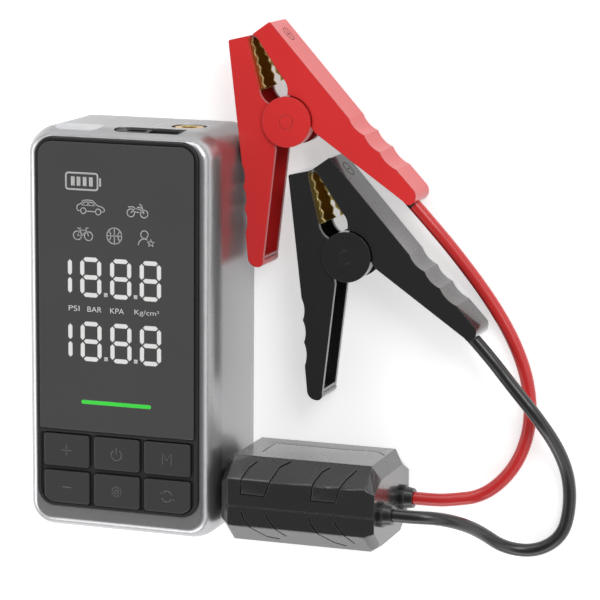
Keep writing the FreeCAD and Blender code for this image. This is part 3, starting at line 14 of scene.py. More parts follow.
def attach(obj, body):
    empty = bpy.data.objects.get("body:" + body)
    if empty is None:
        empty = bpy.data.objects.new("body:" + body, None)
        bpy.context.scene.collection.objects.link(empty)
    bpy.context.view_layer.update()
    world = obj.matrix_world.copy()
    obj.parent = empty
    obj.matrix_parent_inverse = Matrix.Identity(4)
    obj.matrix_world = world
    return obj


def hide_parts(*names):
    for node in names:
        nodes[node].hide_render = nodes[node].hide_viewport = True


MM = 0.001
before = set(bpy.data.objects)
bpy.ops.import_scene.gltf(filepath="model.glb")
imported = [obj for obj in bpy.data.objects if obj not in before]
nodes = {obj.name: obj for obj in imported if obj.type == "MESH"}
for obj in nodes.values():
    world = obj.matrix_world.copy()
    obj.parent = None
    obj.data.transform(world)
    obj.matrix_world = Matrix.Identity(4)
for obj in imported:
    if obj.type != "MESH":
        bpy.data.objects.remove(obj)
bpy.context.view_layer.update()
scene = bpy.context.scene

# %% [markdown]
# The photograph was taken from high above, a little to the right of the pack, with a long lens.
# The camera's axes were solved from the pack's straight edges, so they are written as a matrix
# and not as a guess at angles. A long lens keeps the far edge nearly as large as the near one.

# %% Camera
CAMERA_PLACE = Vector((0.4575, 0.2314, 1.1433))
CAMERA_RIGHT = (0.94563, 0.00787, -0.32515)
CAMERA_UP = (-0.0656, 0.9838, -0.1669)
CAMERA_BACK = (0.31857, 0.17918, 0.93081)
LENS = 165.16
SENSOR = 36.0
FAR_CLIP = 20.0


def add_object(name, data):
    """A new object that holds this data, linked to the scene."""
    made = bpy.data.objects.new(name, data)
    scene.collection.objects.link(made)
    return made


camera_data = bpy.data.cameras.new("photo_camera")
camera_data.lens = LENS
camera_data.sensor_width = SENSOR
camera_data.clip_end = FAR_CLIP
camera = add_object("photo_camera", camera_data)
camera_axes = Matrix((CAMERA_RIGHT, CAMERA_UP, CAMERA_BACK)).transposed().to_4x4()
camera.matrix_world = Matrix.Translation(CAMERA_PLACE) @ camera_axes
scene.camera = camera
scene.view_settings.view_transform = "Standard"
print("camera at", tuple(round(c, 3) for c in camera.location))

# %% [markdown]
# Two short silicone cables join the module to its clamps. Each is a real cable of a fixed
# length, so it is one smooth NURBS curve that a few given control points pull into place,
# with a round bevel. A curve bends evenly everywhere, where a chain of cylinders would show
# kinks. The bevel's depth is 1 and each point's radius is the cable's own, because Blender also
# counts that radius when it measures a curve's box.

# %% Cables
CABLE_RADIUS = 2.9
CABLE_ROUNDNESS = 8
ROUTE_STEPS = 24
RED_LENGTH, BLACK_LENGTH = 0.1816, 0.1913
RED_ROUTE = ((122.35, 58.77, 11.4), (128.64, 52.33, 11.4), (141.5, 36.5, 7.5), (155.5, 17, 3.2),
             (166.5, -1, 2.95), (173, -19, 2.95), (174, -38, 2.95), (167.5, -56.5, 2.95),
             (154.5, -69.5, 5.5), (139.5, -71.5, 10), (133, -71.8, 11), (124, -71.8, 11))
BLACK_ROUTE = ((150.35, 1.17, 11.4), (156.64, -5.27, 11.4), (168.5, -17.5, 14.8),
               (180.5, -31, 14.8), (187.5, -44, 8.5), (191.5, -57, 3.6), (192.5, -71, 2.95),
               (189.5, -85, 2.95), (178, -93, 2.95), (164.5, -91.5, 7.5), (156.5, -82.5, 17.5),
               (150.5, -76.5, 28.5), (142.5, -72.5, 38.5), (133, -71.8, 43), (124, -71.8, 43))


def cable(name, route):
    """A round cable led by the route's control points, in millimetres."""
    data = bpy.data.curves.new(name, "CURVE")
    data.dimensions = "3D"
    data.bevel_depth = 1.0
    data.bevel_resolution = CABLE_ROUNDNESS
    data.resolution_u = ROUTE_STEPS
    data.use_fill_caps = True
    spline = data.splines.new("NURBS")
    spline.points.add(len(route) - 1)
    for point, place in zip(spline.points, route):
        point.co = (*(Vector(place) * MM), 1.0)
        point.radius = CABLE_RADIUS * MM
    spline.order_u = 3
    spline.use_endpoint_u = True
    return add_object(name, data)


lead_cables = {}
for name, route, node, slot, length in (
        ("red_lead_cable", RED_ROUTE, "red_cable", "red_silicone", RED_LENGTH),
        ("black_lead_cable", BLACK_ROUTE, "black_cable", "black_silicone", BLACK_LENGTH)):
    piece = cable(name, route)
    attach(piece, "lead")
    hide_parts(node)
    tuple(c * MM for c in route[-1])
    lead_cables[slot] = piece
print("cables", [piece.name for piece in lead_cables.values()])

# %% [markdown]
# Every material, and the world too, is a tree of nodes. A node written out in full takes several
# lines, so small helpers add a node with its values, link sockets, do sums and start a material.

# %% Shader helpers


def add_node(tree, kind, group=None, **sockets):
    """A new shader node with some of its sockets set by name; a group node names its group."""
    made = tree.nodes.new(kind)
    if group:
        made.node_tree = group
    for key, value in sockets.items():
        made.inputs[key.replace("_", " ")].default_value = value
    return made


def join(tree, *pairs):
    """Links each pair of sockets, from the first to the second."""
    for source, target in pairs:
        tree.links.new(source, target)


def maths(tree, operation, first, second=0.0, clamp=False):
    """A maths node whose two values are numbers or sockets."""
    made = tree.nodes.new("ShaderNodeMath")
    made.operation = operation
    made.use_clamp = clamp
    for socket, value in zip(made.inputs, (first, second)):
        if isinstance(value, (int, float)):
            socket.default_value = value
        else:
            tree.links.new(value, socket)
    return made.outputs[0]


def new_material(name):
    """An empty material, its tree and its output node."""
    material = bpy.data.materials.new(name)
    material.use_nodes = True
    material.node_tree.nodes.clear()
    return material, material.node_tree, material.node_tree.nodes.new("ShaderNodeOutputMaterial")


print("shader helpers ready")

# %% [markdown]
# The real pack was photographed in a white room on a pale floor that reaches far past it. The
# floor shows itself white to the camera, to reflections and through glass, and its diffuse part
# still takes the pack's soft shadow. It lies a tenth of a millimetre low, so that the pack's
# back and the floor never share one plane.

# %% Floor
FLOOR_SIZE = 6.0
FLOOR_DROP = -0.0001
FLOOR_GLOW = 0.5
FLOOR_GREY = 0.8
FLOOR_ROUGH = 0.9
FIBRE_SCALE = 180.0
FIBRE_STRENGTH = 0.05
FIBRE_DEPTH = 0.0005
WHITE = (1, 1, 1, 1)


def seen_rays(tree):
    """1 for camera, mirror and see-through rays, 0 for the rays that carry light."""
    path = tree.nodes.new("ShaderNodeLightPath")
    both = maths(tree, "MAXIMUM", path.outputs["Is Camera Ray"], path.outputs["Is Glossy Ray"])
    return maths(tree, "MAXIMUM", both, path.outputs["Is Transmission Ray"])


floor_material, tree, out = new_material("studio_floor")
paper = add_node(tree, "ShaderNodeBsdfPrincipled", Roughness=FLOOR_ROUGH,
                 Base_Color=(FLOOR_GREY, FLOOR_GREY, FLOOR_GREY, 1), Specular_IOR_Level=0.0,
                 Emission_Color=WHITE)
fibre = add_node(tree, "ShaderNodeTexNoise", Scale=FIBRE_SCALE, Detail=3.0)
relief = add_node(tree, "ShaderNodeBump", Strength=FIBRE_STRENGTH, Distance=FIBRE_DEPTH)
glow = maths(tree, "MULTIPLY", seen_rays(tree), FLOOR_GLOW)
join(tree, (fibre.outputs["Fac"], relief.inputs["Height"]),
     (relief.outputs["Normal"], paper.inputs["Normal"]),
     (glow, paper.inputs["Emission Strength"]),
     (paper.outputs[0], out.inputs["Surface"]))

half = FLOOR_SIZE / 2
corners = [(x, y, FLOOR_DROP) for x, y in ((-half, -half), (half, -half), (half, half),
                                           (-half, half))]
floor_mesh = bpy.data.meshes.new("studio_floor")
floor_mesh.from_pydata(corners, [], [(0, 1, 2, 3)])
floor_mesh.materials.append(floor_material)
floor = add_object("studio_floor", floor_mesh)
print("floor", FLOOR_SIZE, "m wide")

# %% [markdown]
# The room's pale walls fill the shadows and give the glossy parts something to mirror. A world
# of one colour would light everything flatly, so its brightness follows the height of the view:
# dim at the floor, bright along the walls and dim again overhead.

# %% Room
ROOM_LIGHT = ((0.0, 0.12), (0.14, 0.2), (0.3, 1.5), (0.55, 1.45), (0.85, 0.13))

world = bpy.data.worlds.new("studio_room")
scene.world = world
world.use_nodes = True
tree = world.node_tree
tree.nodes.clear()
view = tree.nodes.new("ShaderNodeTexCoord")
split = tree.nodes.new("ShaderNodeSeparateXYZ")
height = tree.nodes.new("ShaderNodeValToRGB")
ramp = height.color_ramp.elements
while len(ramp) < len(ROOM_LIGHT):
    ramp.new(0.5)
for stop, (rise, light) in zip(ramp, ROOM_LIGHT):
    stop.position = rise
    stop.color = (light, light, light, 1)
sky = add_node(tree, "ShaderNodeBackground", Color=WHITE)
out = tree.nodes.new("ShaderNodeOutputWorld")
join(tree, (view.outputs["Generated"], split.inputs[0]),
     (split.outputs["Z"], height.inputs["Fac"]),
     (height.outputs[0], sky.inputs["Strength"]),
     (sky.outputs[0], out.inputs["Surface"]))
print("room light", ROOM_LIGHT)

# %% [markdown]
# Long soft boxes stand low round the pack. They draw the bright lines along the silver rims and
# the strips on the clamps' edges, and they stay out of the mirror direction of the flat faces,
# so the window and the keys keep their depth. Each is named by where it stands.

# %% Lamps
LAMPS = (("key_upper_right", (1.1, 1.0, 1.25), (0.9, 0.7), 10.0),
         ("strip_left", (-1.3, -0.1, 0.55), (1.3, 0.5), 5.0),
         ("strip_near", (0.1, -1.3, 0.6), (1.5, 0.5), 5.0),
         ("strip_far", (0.0, 1.5, 0.6), (1.6, 0.5), 5.0))
LAMP_TARGET = Vector((0.05, 0.0, 0.02))

for name, spot, size, power in LAMPS:
    lamp_data = bpy.data.lights.new(name, "AREA")
    lamp_data.shape = "RECTANGLE"
    lamp_data.size, lamp_data.size_y = size
    lamp_data.energy = power
    lamp = add_object(name, lamp_data)
    lamp.location = spot
    lamp.rotation_euler = (LAMP_TARGET - Vector(spot)).to_track_quat("-Z", "Y").to_euler()
print("lamps", len(LAMPS))

# %% [markdown]
# Moulded plastic has three marks of how it was made and used: a fine eroded grain from the mould
# with slow ripples where it shrank, softened edges, and faint marks of handling. The softened
# edges also carry a painted highlight or painted shade in their edge tone.
# These effects return in nearly every finish, so each is one shader group with named inputs,
# built once. Copies of the same nodes in every material would be slow to change.

# %% Group helpers
NUMBER = "NodeSocketFloat"
VECTOR = "NodeSocketVector"


def new_group(name, inputs, outputs):
    """A shader node group; an input is (name, starting value), an output (name, kind)."""
    group = bpy.data.node_groups.new(name, "ShaderNodeTree")
    for label, value in inputs:
        socket = group.interface.new_socket(label, in_out="INPUT", socket_type=NUMBER)
        socket.default_value = value
    for label, kind in outputs:
        group.interface.new_socket(label, in_out="OUTPUT", socket_type=kind)
    return group, group.nodes.new("NodeGroupInput"), group.nodes.new("NodeGroupOutput")


def noise(tree, coordinates, scale, detail=2.0, roughness=0.5):
    """A noise value between 0 and 1; its scale is a number or a socket."""
    made = add_node(tree, "ShaderNodeTexNoise", Detail=detail, Roughness=roughness)
    tree.links.new(coordinates, made.inputs["Vector"])
    if isinstance(scale, (int, float)):
        made.inputs["Scale"].default_value = scale
    else:
        tree.links.new(scale, made.inputs["Scale"])
    return made.outputs["Fac"]


print("group helpers ready")

# %% [markdown]
# The grain group gives a height for the bump, a slow blotch that mixes two tones, and a speck
# for paints with flakes in them. Noise stands in for the mould's eroded skin, because it needs
# no picture and stays sharp from near by.

# %% Moulded grain
GRAIN_SCALE = 1800.0
GRAIN_RIPPLE = 0.3
RIPPLE_SCALE = 38.0
BLOTCH_SCALE = 22.0
SPECK_SCALE = 900.0

grain, start, end = new_group(
    "moulded_grain", (("Grain Scale", GRAIN_SCALE), ("Ripple", GRAIN_RIPPLE)),
    (("Height", NUMBER), ("Blotch", NUMBER), ("Speck", NUMBER)))
here = grain.nodes.new("ShaderNodeTexCoord").outputs["Object"]
fine = noise(grain, here, start.outputs["Grain Scale"], detail=2.0, roughness=0.6)
slow = noise(grain, here, RIPPLE_SCALE, detail=1.0)
ripples = maths(grain, "MULTIPLY", slow, start.outputs["Ripple"])
blotch = noise(grain, here, BLOTCH_SCALE, detail=3.0)
speck = noise(grain, here, SPECK_SCALE, detail=3.0, roughness=0.7)
join(grain, (maths(grain, "ADD", fine, ripples), end.inputs["Height"]),
     (blotch, end.inputs["Blotch"]),
     (speck, end.inputs["Speck"]))
print("group", grain.name)

# %% [markdown]
# No moulded edge is quite sharp. The edge group rounds the normals near an edge, and where the
# rounded normal turns away from the true one it marks the edge, so that a finish can paint its
# edge tone there: a lighter tone is a painted highlight, a darker one painted shade. A modelled
# round would need far more faces on every small part.

# %% Soft edge
EDGE_RADIUS = 0.7
EDGE_SAMPLES = 4
EDGE_GAIN = 3.0

edges, start, end = new_group(
    "soft_edge", (("Strength", 1.0),), (("Normal", VECTOR), ("Edge", NUMBER)))
rounded = add_node(edges, "ShaderNodeBevel", Radius=EDGE_RADIUS * MM)
rounded.samples = EDGE_SAMPLES
true_normal = edges.nodes.new("ShaderNodeNewGeometry").outputs["Normal"]
facing = edges.nodes.new("ShaderNodeVectorMath")
facing.operation = "DOT_PRODUCT"
turned = maths(edges, "SUBTRACT", 1.0, facing.outputs["Value"])
raised = maths(edges, "MULTIPLY", turned, EDGE_GAIN)
edge_mask = maths(edges, "MULTIPLY", raised, start.outputs["Strength"], clamp=True)
join(edges, (rounded.outputs[0], facing.inputs[0]),
     (true_normal, facing.inputs[1]),
     (rounded.outputs[0], end.inputs["Normal"]),
     (edge_mask, end.inputs["Edge"]))
print("group", edges.name)

# %% [markdown]
# Hands leave a surface a little rougher in some places than in others. A broad smear multiplied
# by fine flecks looks like that, where a single noise would look like a cloud.

# %% Handling marks
SMEAR_SCALE = 55.0
FLECK_SCALE = 420.0
MARKS_AMOUNT = 0.06

marks, start, end = new_group("handling_marks", (("Amount", MARKS_AMOUNT),), (("Mask", NUMBER),))
here = marks.nodes.new("ShaderNodeTexCoord").outputs["Object"]
smear = noise(marks, here, SMEAR_SCALE, detail=5.0, roughness=0.65)
fleck = noise(marks, here, FLECK_SCALE, detail=2.0)
touched = maths(marks, "MULTIPLY", smear, fleck)
marks.links.new(maths(marks, "MULTIPLY", touched, start.outputs["Amount"]), end.inputs["Mask"])
print("group", marks.name)

# %% [markdown]
# Each finish is one material with its own numbers: two tones that the slow blotches mix, a
# roughness that the handling marks vary, a grain relief and the tone of its edges, a painted
# highlight or painted shade. Two helpers mix its colours, and one of them paints shade on the
# housing past the edge of its port end.

# %% Colour helpers
END_SHADE_FROM, END_SHADE_TO = 0.0855, 0.0893
END_SHADE_TONE = 0.3


def mix_colour(tree, factor, first, second):
    """Mixes two colours, each a value or a socket, on the colour sockets of a mix node."""
    made = tree.nodes.new("ShaderNodeMix")
    made.data_type = "RGBA"
    for socket, value in ((made.inputs[0], factor), (made.inputs[6], first),
                          (made.inputs[7], second)):
        if isinstance(value, (tuple, float, int)):
            socket.default_value = (*value, 1.0) if isinstance(value, tuple) else value
        else:
            tree.links.new(value, socket)
    return made.outputs[2]


def end_shade_colour(tree, body, tone, amount):
    """The body's colour with painted shade, darkened by an amount past the edge of the port end.
    """
    place = tree.nodes.new("ShaderNodeTexCoord")
    split = tree.nodes.new("ShaderNodeSeparateXYZ")
    past = add_node(tree, "ShaderNodeMapRange", From_Min=END_SHADE_FROM, From_Max=END_SHADE_TO,
                    To_Max=amount)
    join(tree, (place.outputs["Object"], split.inputs[0]),
         (split.outputs["Y"], past.inputs["Value"]))
    return mix_colour(tree, past.outputs[0], body, tuple(END_SHADE_TONE * c for c in tone))


print("end patch from", END_SHADE_FROM, "to", END_SHADE_TO)

# %% [markdown]
# One builder writes every finish, so a new one is one line of values. It sets what stays the
# same over a surface on the Principled shader itself, and lets the groups feed what changes. The
# handling marks only add roughness, so about their mean is taken off first.

# %% Finish builder
COAT_ROUGH = 0.06
MARKS_MEAN = 0.015
RELIEF_STRENGTH = 0.6


def finish(name, tone, shade, edge_tone, rough, grain_scale=GRAIN_SCALE, relief=0.03,
           ripple=GRAIN_RIPPLE, metallic=0.0, painted_edge_amount=0.5, coat=0.0, glow=0.0, sparkle=0.0,
           painted_end_shade=0.0):
    """One finish with a painted edge highlight or shade; returns its material. Relief is in
    millimetres.
    """
    material, tree, out = new_material(name)
    shader = add_node(tree, "ShaderNodeBsdfPrincipled", Metallic=metallic, Coat_Weight=coat,
                      Coat_Roughness=COAT_ROUGH)
    surface = add_node(tree, "ShaderNodeGroup", grain, Grain_Scale=grain_scale, Ripple=ripple)
    corner = add_node(tree, "ShaderNodeGroup", edges, Strength=painted_edge_amount)
    handled = add_node(tree, "ShaderNodeGroup", marks, Amount=MARKS_AMOUNT)
    bump = add_node(tree, "ShaderNodeBump", Strength=RELIEF_STRENGTH, Distance=relief * MM)
    body = mix_colour(tree, surface.outputs["Blotch"], tone, shade)
    if sparkle:
        flake = maths(tree, "MULTIPLY", surface.outputs["Speck"], sparkle)
        body = mix_colour(tree, flake, body, edge_tone)
    # Painted shade: the housing's colour darkens past the edge of its port end.
    if painted_end_shade:
        body = end_shade_colour(tree, body, tone, painted_end_shade)
    # Painted highlight or painted shade: the edge tone, mixed in along the edges by the edge mask.
    colour = mix_colour(tree, corner.outputs["Edge"], body, edge_tone)
    roughness = maths(tree, "ADD", handled.outputs["Mask"], rough - MARKS_MEAN, clamp=True)
    join(tree, (colour, shader.inputs["Base Color"]),
         (roughness, shader.inputs["Roughness"]),
         (surface.outputs["Height"], bump.inputs["Height"]),
         (corner.outputs["Normal"], bump.inputs["Normal"]),
         (bump.outputs["Normal"], shader.inputs["Normal"]),
         (shader.outputs[0], out.inputs["Surface"]))
    if glow:
        tree.links.new(body, shader.inputs["Emission Color"])
        shader.inputs["Emission Strength"].default_value = glow
    return material


print("finish builder ready")

# %% [markdown]
# The pack's outside is silver paint with fine flakes, a black panel, a smoked window under a
# clear coat and soft keys, with a green light guide and a pale torch lens. Its inside is there
# too, so the board, the cells' foil, the pump and the copper bars get finishes of their own.

# %% Pack finishes
# Most edge tones here are lighter than their finish, painted highlights along the edges; the
# smoked window's and the torch lens's darker edge tones are painted shade.
finishes = {
    # Silver paint: its bright edge tone is a painted highlight along the rims.
    "silver_housing": finish("silver_paint", (0.40, 0.40, 0.41), (0.35, 0.35, 0.36),
                             (0.85, 0.85, 0.86), 0.3, 2600.0, 0.012, 0.15, metallic=0.9,
                             painted_edge_amount=1.0, sparkle=0.3, painted_end_shade=0.55),
    "black_frame": finish("panel_black", (0.006, 0.006, 0.006), (0.004, 0.004, 0.004),
                          (0.02, 0.02, 0.02), 0.5),
    "smoked_window": finish("smoked_window", (0.060, 0.060, 0.061), (0.053, 0.053, 0.054),
                            (0.012, 0.012, 0.012), 0.2, 300.0, 0.001, 0.1, coat=0.5),
    "dark_keys": finish("key_rubber", (0.026, 0.026, 0.027), (0.020, 0.020, 0.021),
                        (0.08, 0.08, 0.08), 0.5, 2400.0, 0.02),
    "green_light_guide": finish("green_light_guide", (0.04, 0.55, 0.045), (0.03, 0.47, 0.04),
                                (0.2, 0.8, 0.2), 0.3, 900.0, 0.01, glow=0.25),
    "silicone": finish("grey_silicone", (0.22, 0.22, 0.22), (0.17, 0.17, 0.17),
                       (0.35, 0.35, 0.35), 0.65),
    "white_plastic": finish("white_plastic", (0.78, 0.78, 0.77), (0.70, 0.70, 0.69),
                            (0.9, 0.9, 0.9), 0.45),
    "circuit_board": finish("solder_mask", (0.012, 0.10, 0.045), (0.008, 0.065, 0.03),
                            (0.3, 0.3, 0.2), 0.4, 700.0, 0.05, coat=0.3),
    "plated_steel": finish("plated_steel", (0.62, 0.62, 0.61), (0.52, 0.52, 0.51),
                           (0.85, 0.85, 0.85), 0.35, 900.0, 0.01, metallic=1.0),
    "steel": finish("zinc_steel", (0.50, 0.50, 0.50), (0.40, 0.40, 0.41), (0.75, 0.75, 0.75),
                    0.42, 1200.0, 0.02, metallic=1.0),
    "pump_alloy": finish("cast_alloy", (0.55, 0.55, 0.56), (0.42, 0.42, 0.43), (0.8, 0.8, 0.8),
                         0.55, 1100.0, 0.08, metallic=1.0),
    "copper": finish("bus_copper", (0.75, 0.40, 0.22), (0.60, 0.28, 0.14), (0.9, 0.6, 0.4), 0.4,
                     900.0, 0.02, metallic=1.0),
    "cell_foil": finish("cell_foil", (0.62, 0.62, 0.64), (0.50, 0.50, 0.52), (0.8, 0.8, 0.8),
                        0.42, 120.0, 0.25, 1.2, metallic=0.9),
    "brass_outlet": finish("outlet_brass", (0.62, 0.42, 0.11), (0.48, 0.31, 0.07),
                           (0.9, 0.72, 0.35), 0.32, 1500.0, 0.01, metallic=1.0),
    # Torch lens: its dark edge tone is a painted shade outline round the lens.
    "clear_lens": finish("torch_lens", (0.80, 0.81, 0.83), (0.50, 0.51, 0.53),
                         (0.06, 0.06, 0.06), 0.45, 520.0, 0.4, 0.8, painted_edge_amount=1.0, sparkle=0.35),
}
print("pack finishes", len(finishes))

# %% [markdown]
# The lead has glossy parts: a black module, one red and one black clamp with yellow plated jaws,
# and two silicone cables. The clamps' edges are darker than their faces in the photograph, so
# their edge tone is painted shade along the rounded edges, not a worn highlight. The lighter edge
# tones of the jaws, the module and the cables are painted highlights.

# %% Lead finishes
finishes.update({
    "jaw_copper": finish("jaw_plating", (0.78, 0.56, 0.17), (0.52, 0.36, 0.09),
                         (0.98, 0.88, 0.50), 0.34, 900.0, 0.02, metallic=1.0),
    "module_plastic": finish("module_black", (0.018, 0.018, 0.019), (0.013, 0.013, 0.014),
                             (0.030, 0.030, 0.030), 0.27, 2100.0, 0.002, coat=0.7),
    # The clamps' darker edge tones are painted shade along their rounded edges.
    "red_plastic": finish("clamp_red", (0.66, 0.028, 0.028), (0.56, 0.020, 0.020),
                          (0.30, 0.006, 0.006), 0.3, 1500.0, 0.0015, coat=0.3),
    "black_plastic": finish("clamp_black", (0.012, 0.012, 0.012), (0.009, 0.009, 0.009),
                            (0.001, 0.001, 0.001), 0.27, 1500.0, 0.0015, coat=1.0),
    "red_silicone": finish("cable_red", (0.58, 0.02, 0.02), (0.48, 0.014, 0.014),
                           (0.7, 0.08, 0.08), 0.36, 1300.0, 0.008, coat=0.3),
    "black_silicone": finish("cable_black", (0.012, 0.012, 0.012), (0.008, 0.008, 0.008),
                             (0.02, 0.02, 0.02), 0.34, 1300.0, 0.008, coat=0.3),
})
for node in nodes.values():
    for holder in node.material_slots:
        holder.material = finishes[holder.material.name.split(".")[0]]
for slot, piece in lead_cables.items():
    piece.data.materials.append(finishes[slot])
print("finishes", len(finishes))

# %% [markdown]
# Some shapes need a modifier, such as a bevel, a cut or a node tree. The finished piece should be
# a plain mesh at the origin, so the modified shape is taken from Blender's evaluated copy and the
# object that carried the modifiers goes.

# %% Mesh helpers
MERGE = 0.00001


def as_mesh(host, name):
    """The host's evaluated shape as a plain mesh object; the host goes."""
    graph = bpy.context.evaluated_depsgraph_get()
    mesh = bpy.data.meshes.new_from_object(host.evaluated_get(graph), depsgraph=graph)
    mesh.name = name
    bpy.data.objects.remove(host)
    return add_object(name, mesh)


def merged_copy(node):
    """A CAD node's triangles with their shared corners merged, open for editing."""
    bm = bmesh.new()
    bm.from_mesh(nodes[node].data)
    bmesh.ops.remove_doubles(bm, verts=bm.verts, dist=MERGE)
    return bm


def mesh_of(bm, name, material):
    """What was edited as a mesh of one material."""
    mesh = bpy.data.meshes.new(name)
    bm.to_mesh(mesh)
    bm.free()
    mesh.materials.append(material)
    return mesh


def shade_smooth(mesh, sharp):
    """Smooth shading, except over the edges that turn more than this many degrees."""
    for face in mesh.polygons:
        face.use_smooth = True
    mesh.set_sharp_from_angle(angle=math.radians(sharp))


print("mesh helpers ready")

# %% [markdown]
# The module that guards the lead is an eight sided box of two shells. Shallow grooves run over
# its front in a pattern that breaks up the plain face. They are written as points in plan, and
# two small functions lay a point on the front with its chamfers, or on the side.

# %% Groove paths
MODULE_FACE = 54.0
CHAMFER_SLOPE = 9.5 / 8.5
FACE_LOW, FACE_HIGH = -80.0, -59.0
MODULE_SIDE = -50.5
UPPER_GROOVES = (((58.1, -65.6), (58.4, -59.0), (59.3, -56.8), (60.4, -54.6), (63.1, -52.4)),
                 ((58.1, -65.6), (68.8, -65.8), (70.1, -63), (71.5, -59.0), (73.9, -53.7),
                  (78.2, -51.5)),
                 ((90.2, -65.7), (90.9, -59.0), (91.5, -57.3), (93.4, -54.1), (96.2, -52.4)),
                 ((90.2, -65.7), (101.3, -65.7), (102.3, -61.8), (103.2, -59.0), (105.2, -55.8),
                  (108.4, -52.4)))
LOWER_GROOVES = (((58.3, -73.6), (59.5, -77), (62.3, -80.0), (68.3, -84.9), (74, -85.8)),
                 ((69.8, -73.7), (71, -76.3), (74.4, -80.0), (78, -83.6)),
                 ((89.6, -73), (90.2, -76), (93.4, -80), (99.5, -84.6), (104.5, -86.1)),
                 ((100.9, -74), (102.4, -76.5), (105.9, -80.0), (109, -84)))
LABEL_GROOVE = ((61.7, 36), (61.8, 18.4), (94.3, 19.3), (107.5, 17.8), (110.2, 19.1),
                (113.9, 23.6))


def on_front(point):
    """A plan point's place on the front face or its chamfers, and the way inwards."""
    past = max(point.y - FACE_HIGH, FACE_LOW - point.y, 0.0)
    return Vector((point.x, point.y, MODULE_FACE - CHAMFER_SLOPE * past)), Vector((0, 0, -1))


def on_side(point):
    """A point's place on the module's side towards the port end, and the way inwards."""
    return Vector((point.x, MODULE_SIDE, point.y)), Vector((0, -1, 0))


print("grooves", len(UPPER_GROOVES) + len(LOWER_GROOVES) + 1)

# %% [markdown]
# A groove needs real walls that hold shadow, which a bump can't give. So a closed strip is made
# along each path, half above the surface and half in it, and a boolean takes it out of the
# shell. The strip's own material is a deep black, painted shade that darkens the groove walls
# past their real shadow, and the boolean hands it to the walls.

# %% Groove cutters
GROOVE_WIDTH = 0.5
GROOVE_DEEP = 1.0

# Painted shade: the groove walls take this near black, darker than the module's plastic.
groove_painted_shade = finish("groove_painted_shade", (0.003, 0.003, 0.003), (0.002, 0.002, 0.002),
                      (0.004, 0.004, 0.004), 0.8)


def section(path, index, surface):
    """The strip's four corners at one of its path's points, in metres."""
    before = Vector(path[max(index - 1, 0)])
    after = Vector(path[min(index + 1, len(path) - 1)])
    run = (after - before).normalized()
    side = Vector((-run.y, run.x)) * GROOVE_WIDTH / 2
    corners = []
    for offset, sink in ((side, -GROOVE_DEEP), (-side, -GROOVE_DEEP), (-side, GROOVE_DEEP),
                         (side, GROOVE_DEEP)):
        place, inward = surface(Vector(path[index]) + offset)
        corners.append((place + inward * sink) * MM)
    return corners


def groove_cutter(paths, surface):
    """A closed strip along each path, laid on a surface."""
    bm = bmesh.new()
    for path in paths:
        rings = [[bm.verts.new(corner) for corner in section(path, index, surface)]
                 for index in range(len(path))]
        for near, far in zip(rings, rings[1:]):
            for i in range(4):
                bm.faces.new((near[i], near[(i + 1) % 4], far[(i + 1) % 4], far[i]))
        bm.faces.new(rings[0][::-1])
        bm.faces.new(rings[-1])
    bmesh.ops.recalc_face_normals(bm, faces=bm.faces)
    return add_object("groove_cutter", mesh_of(bm, "groove_cutter", groove_painted_shade))


upper_cutters = [groove_cutter(UPPER_GROOVES, on_front), groove_cutter([LABEL_GROOVE], on_side)]
lower_cutters = [groove_cutter(LOWER_GROOVES, on_front)]
print("groove cutters", len(upper_cutters) + len(lower_cutters))

# %% [markdown]
# The shells' long edges are rounded, more at the front than at the sides. A bevel on every edge
# would spoil the seam and the cable holes, so it goes by a weight that only the edges along the
# eight corners of the outline carry.

# %% Module blanks
OUTLINE = ((-50.5, 9.5), (-50.5, 44.5), (-59, 54), (-80, 54), (-88.5, 44.5), (-88.5, 9.5),
           (-80, 0), (-59, 0))
OUTLINE_REACH = 0.15
FLAT_ANGLE = 1
FRONT_ROUND = 3.4
SIDE_ROUND_SHARE = 0.3
ROUND_STEPS = 6


def round_share(edge):
    """An edge's share of the full round: all at the front, less at the sides, or none."""
    ends = [tuple(vertex.co / MM) for vertex in edge.verts]
    if any(min(math.hypot(y - a, z - b) for a, b in OUTLINE) >= OUTLINE_REACH
           for _, y, z in ends):
        return 0.0
    return 1.0 if all(z > MODULE_FACE - 1 for _, _, z in ends) else SIDE_ROUND_SHARE


def module_blank(node, name):
    """A merged copy of a CAD shell with a bevel on its long edges."""
    bm = merged_copy(node)
    bmesh.ops.dissolve_limit(bm, angle_limit=math.radians(FLAT_ANGLE), verts=bm.verts,
                             edges=bm.edges)
    weight = bm.edges.layers.float.new("bevel_weight_edge")
    for edge in bm.edges:
        edge[weight] = round_share(edge)
    print(name, "edges rounded", sum(edge[weight] > 0 for edge in bm.edges))
    host = add_object(name + "_blank", mesh_of(bm, name, finishes["module_plastic"]))
    bevel = host.modifiers.new("long_edges", "BEVEL")
    bevel.limit_method = "WEIGHT"
    bevel.width = FRONT_ROUND * MM
    bevel.segments = ROUND_STEPS
    return host


# %% [markdown]
# The boolean leaves long thin faces beside the grooves, and smooth shading would smear over
# them. Weighted normals let the large flat faces decide how the light falls, so the flat parts
# stay flat and only the rounds shade round.

# %% Module shells
SHELL_SHARP = 32
LARGE_FACE_WEIGHT = 100


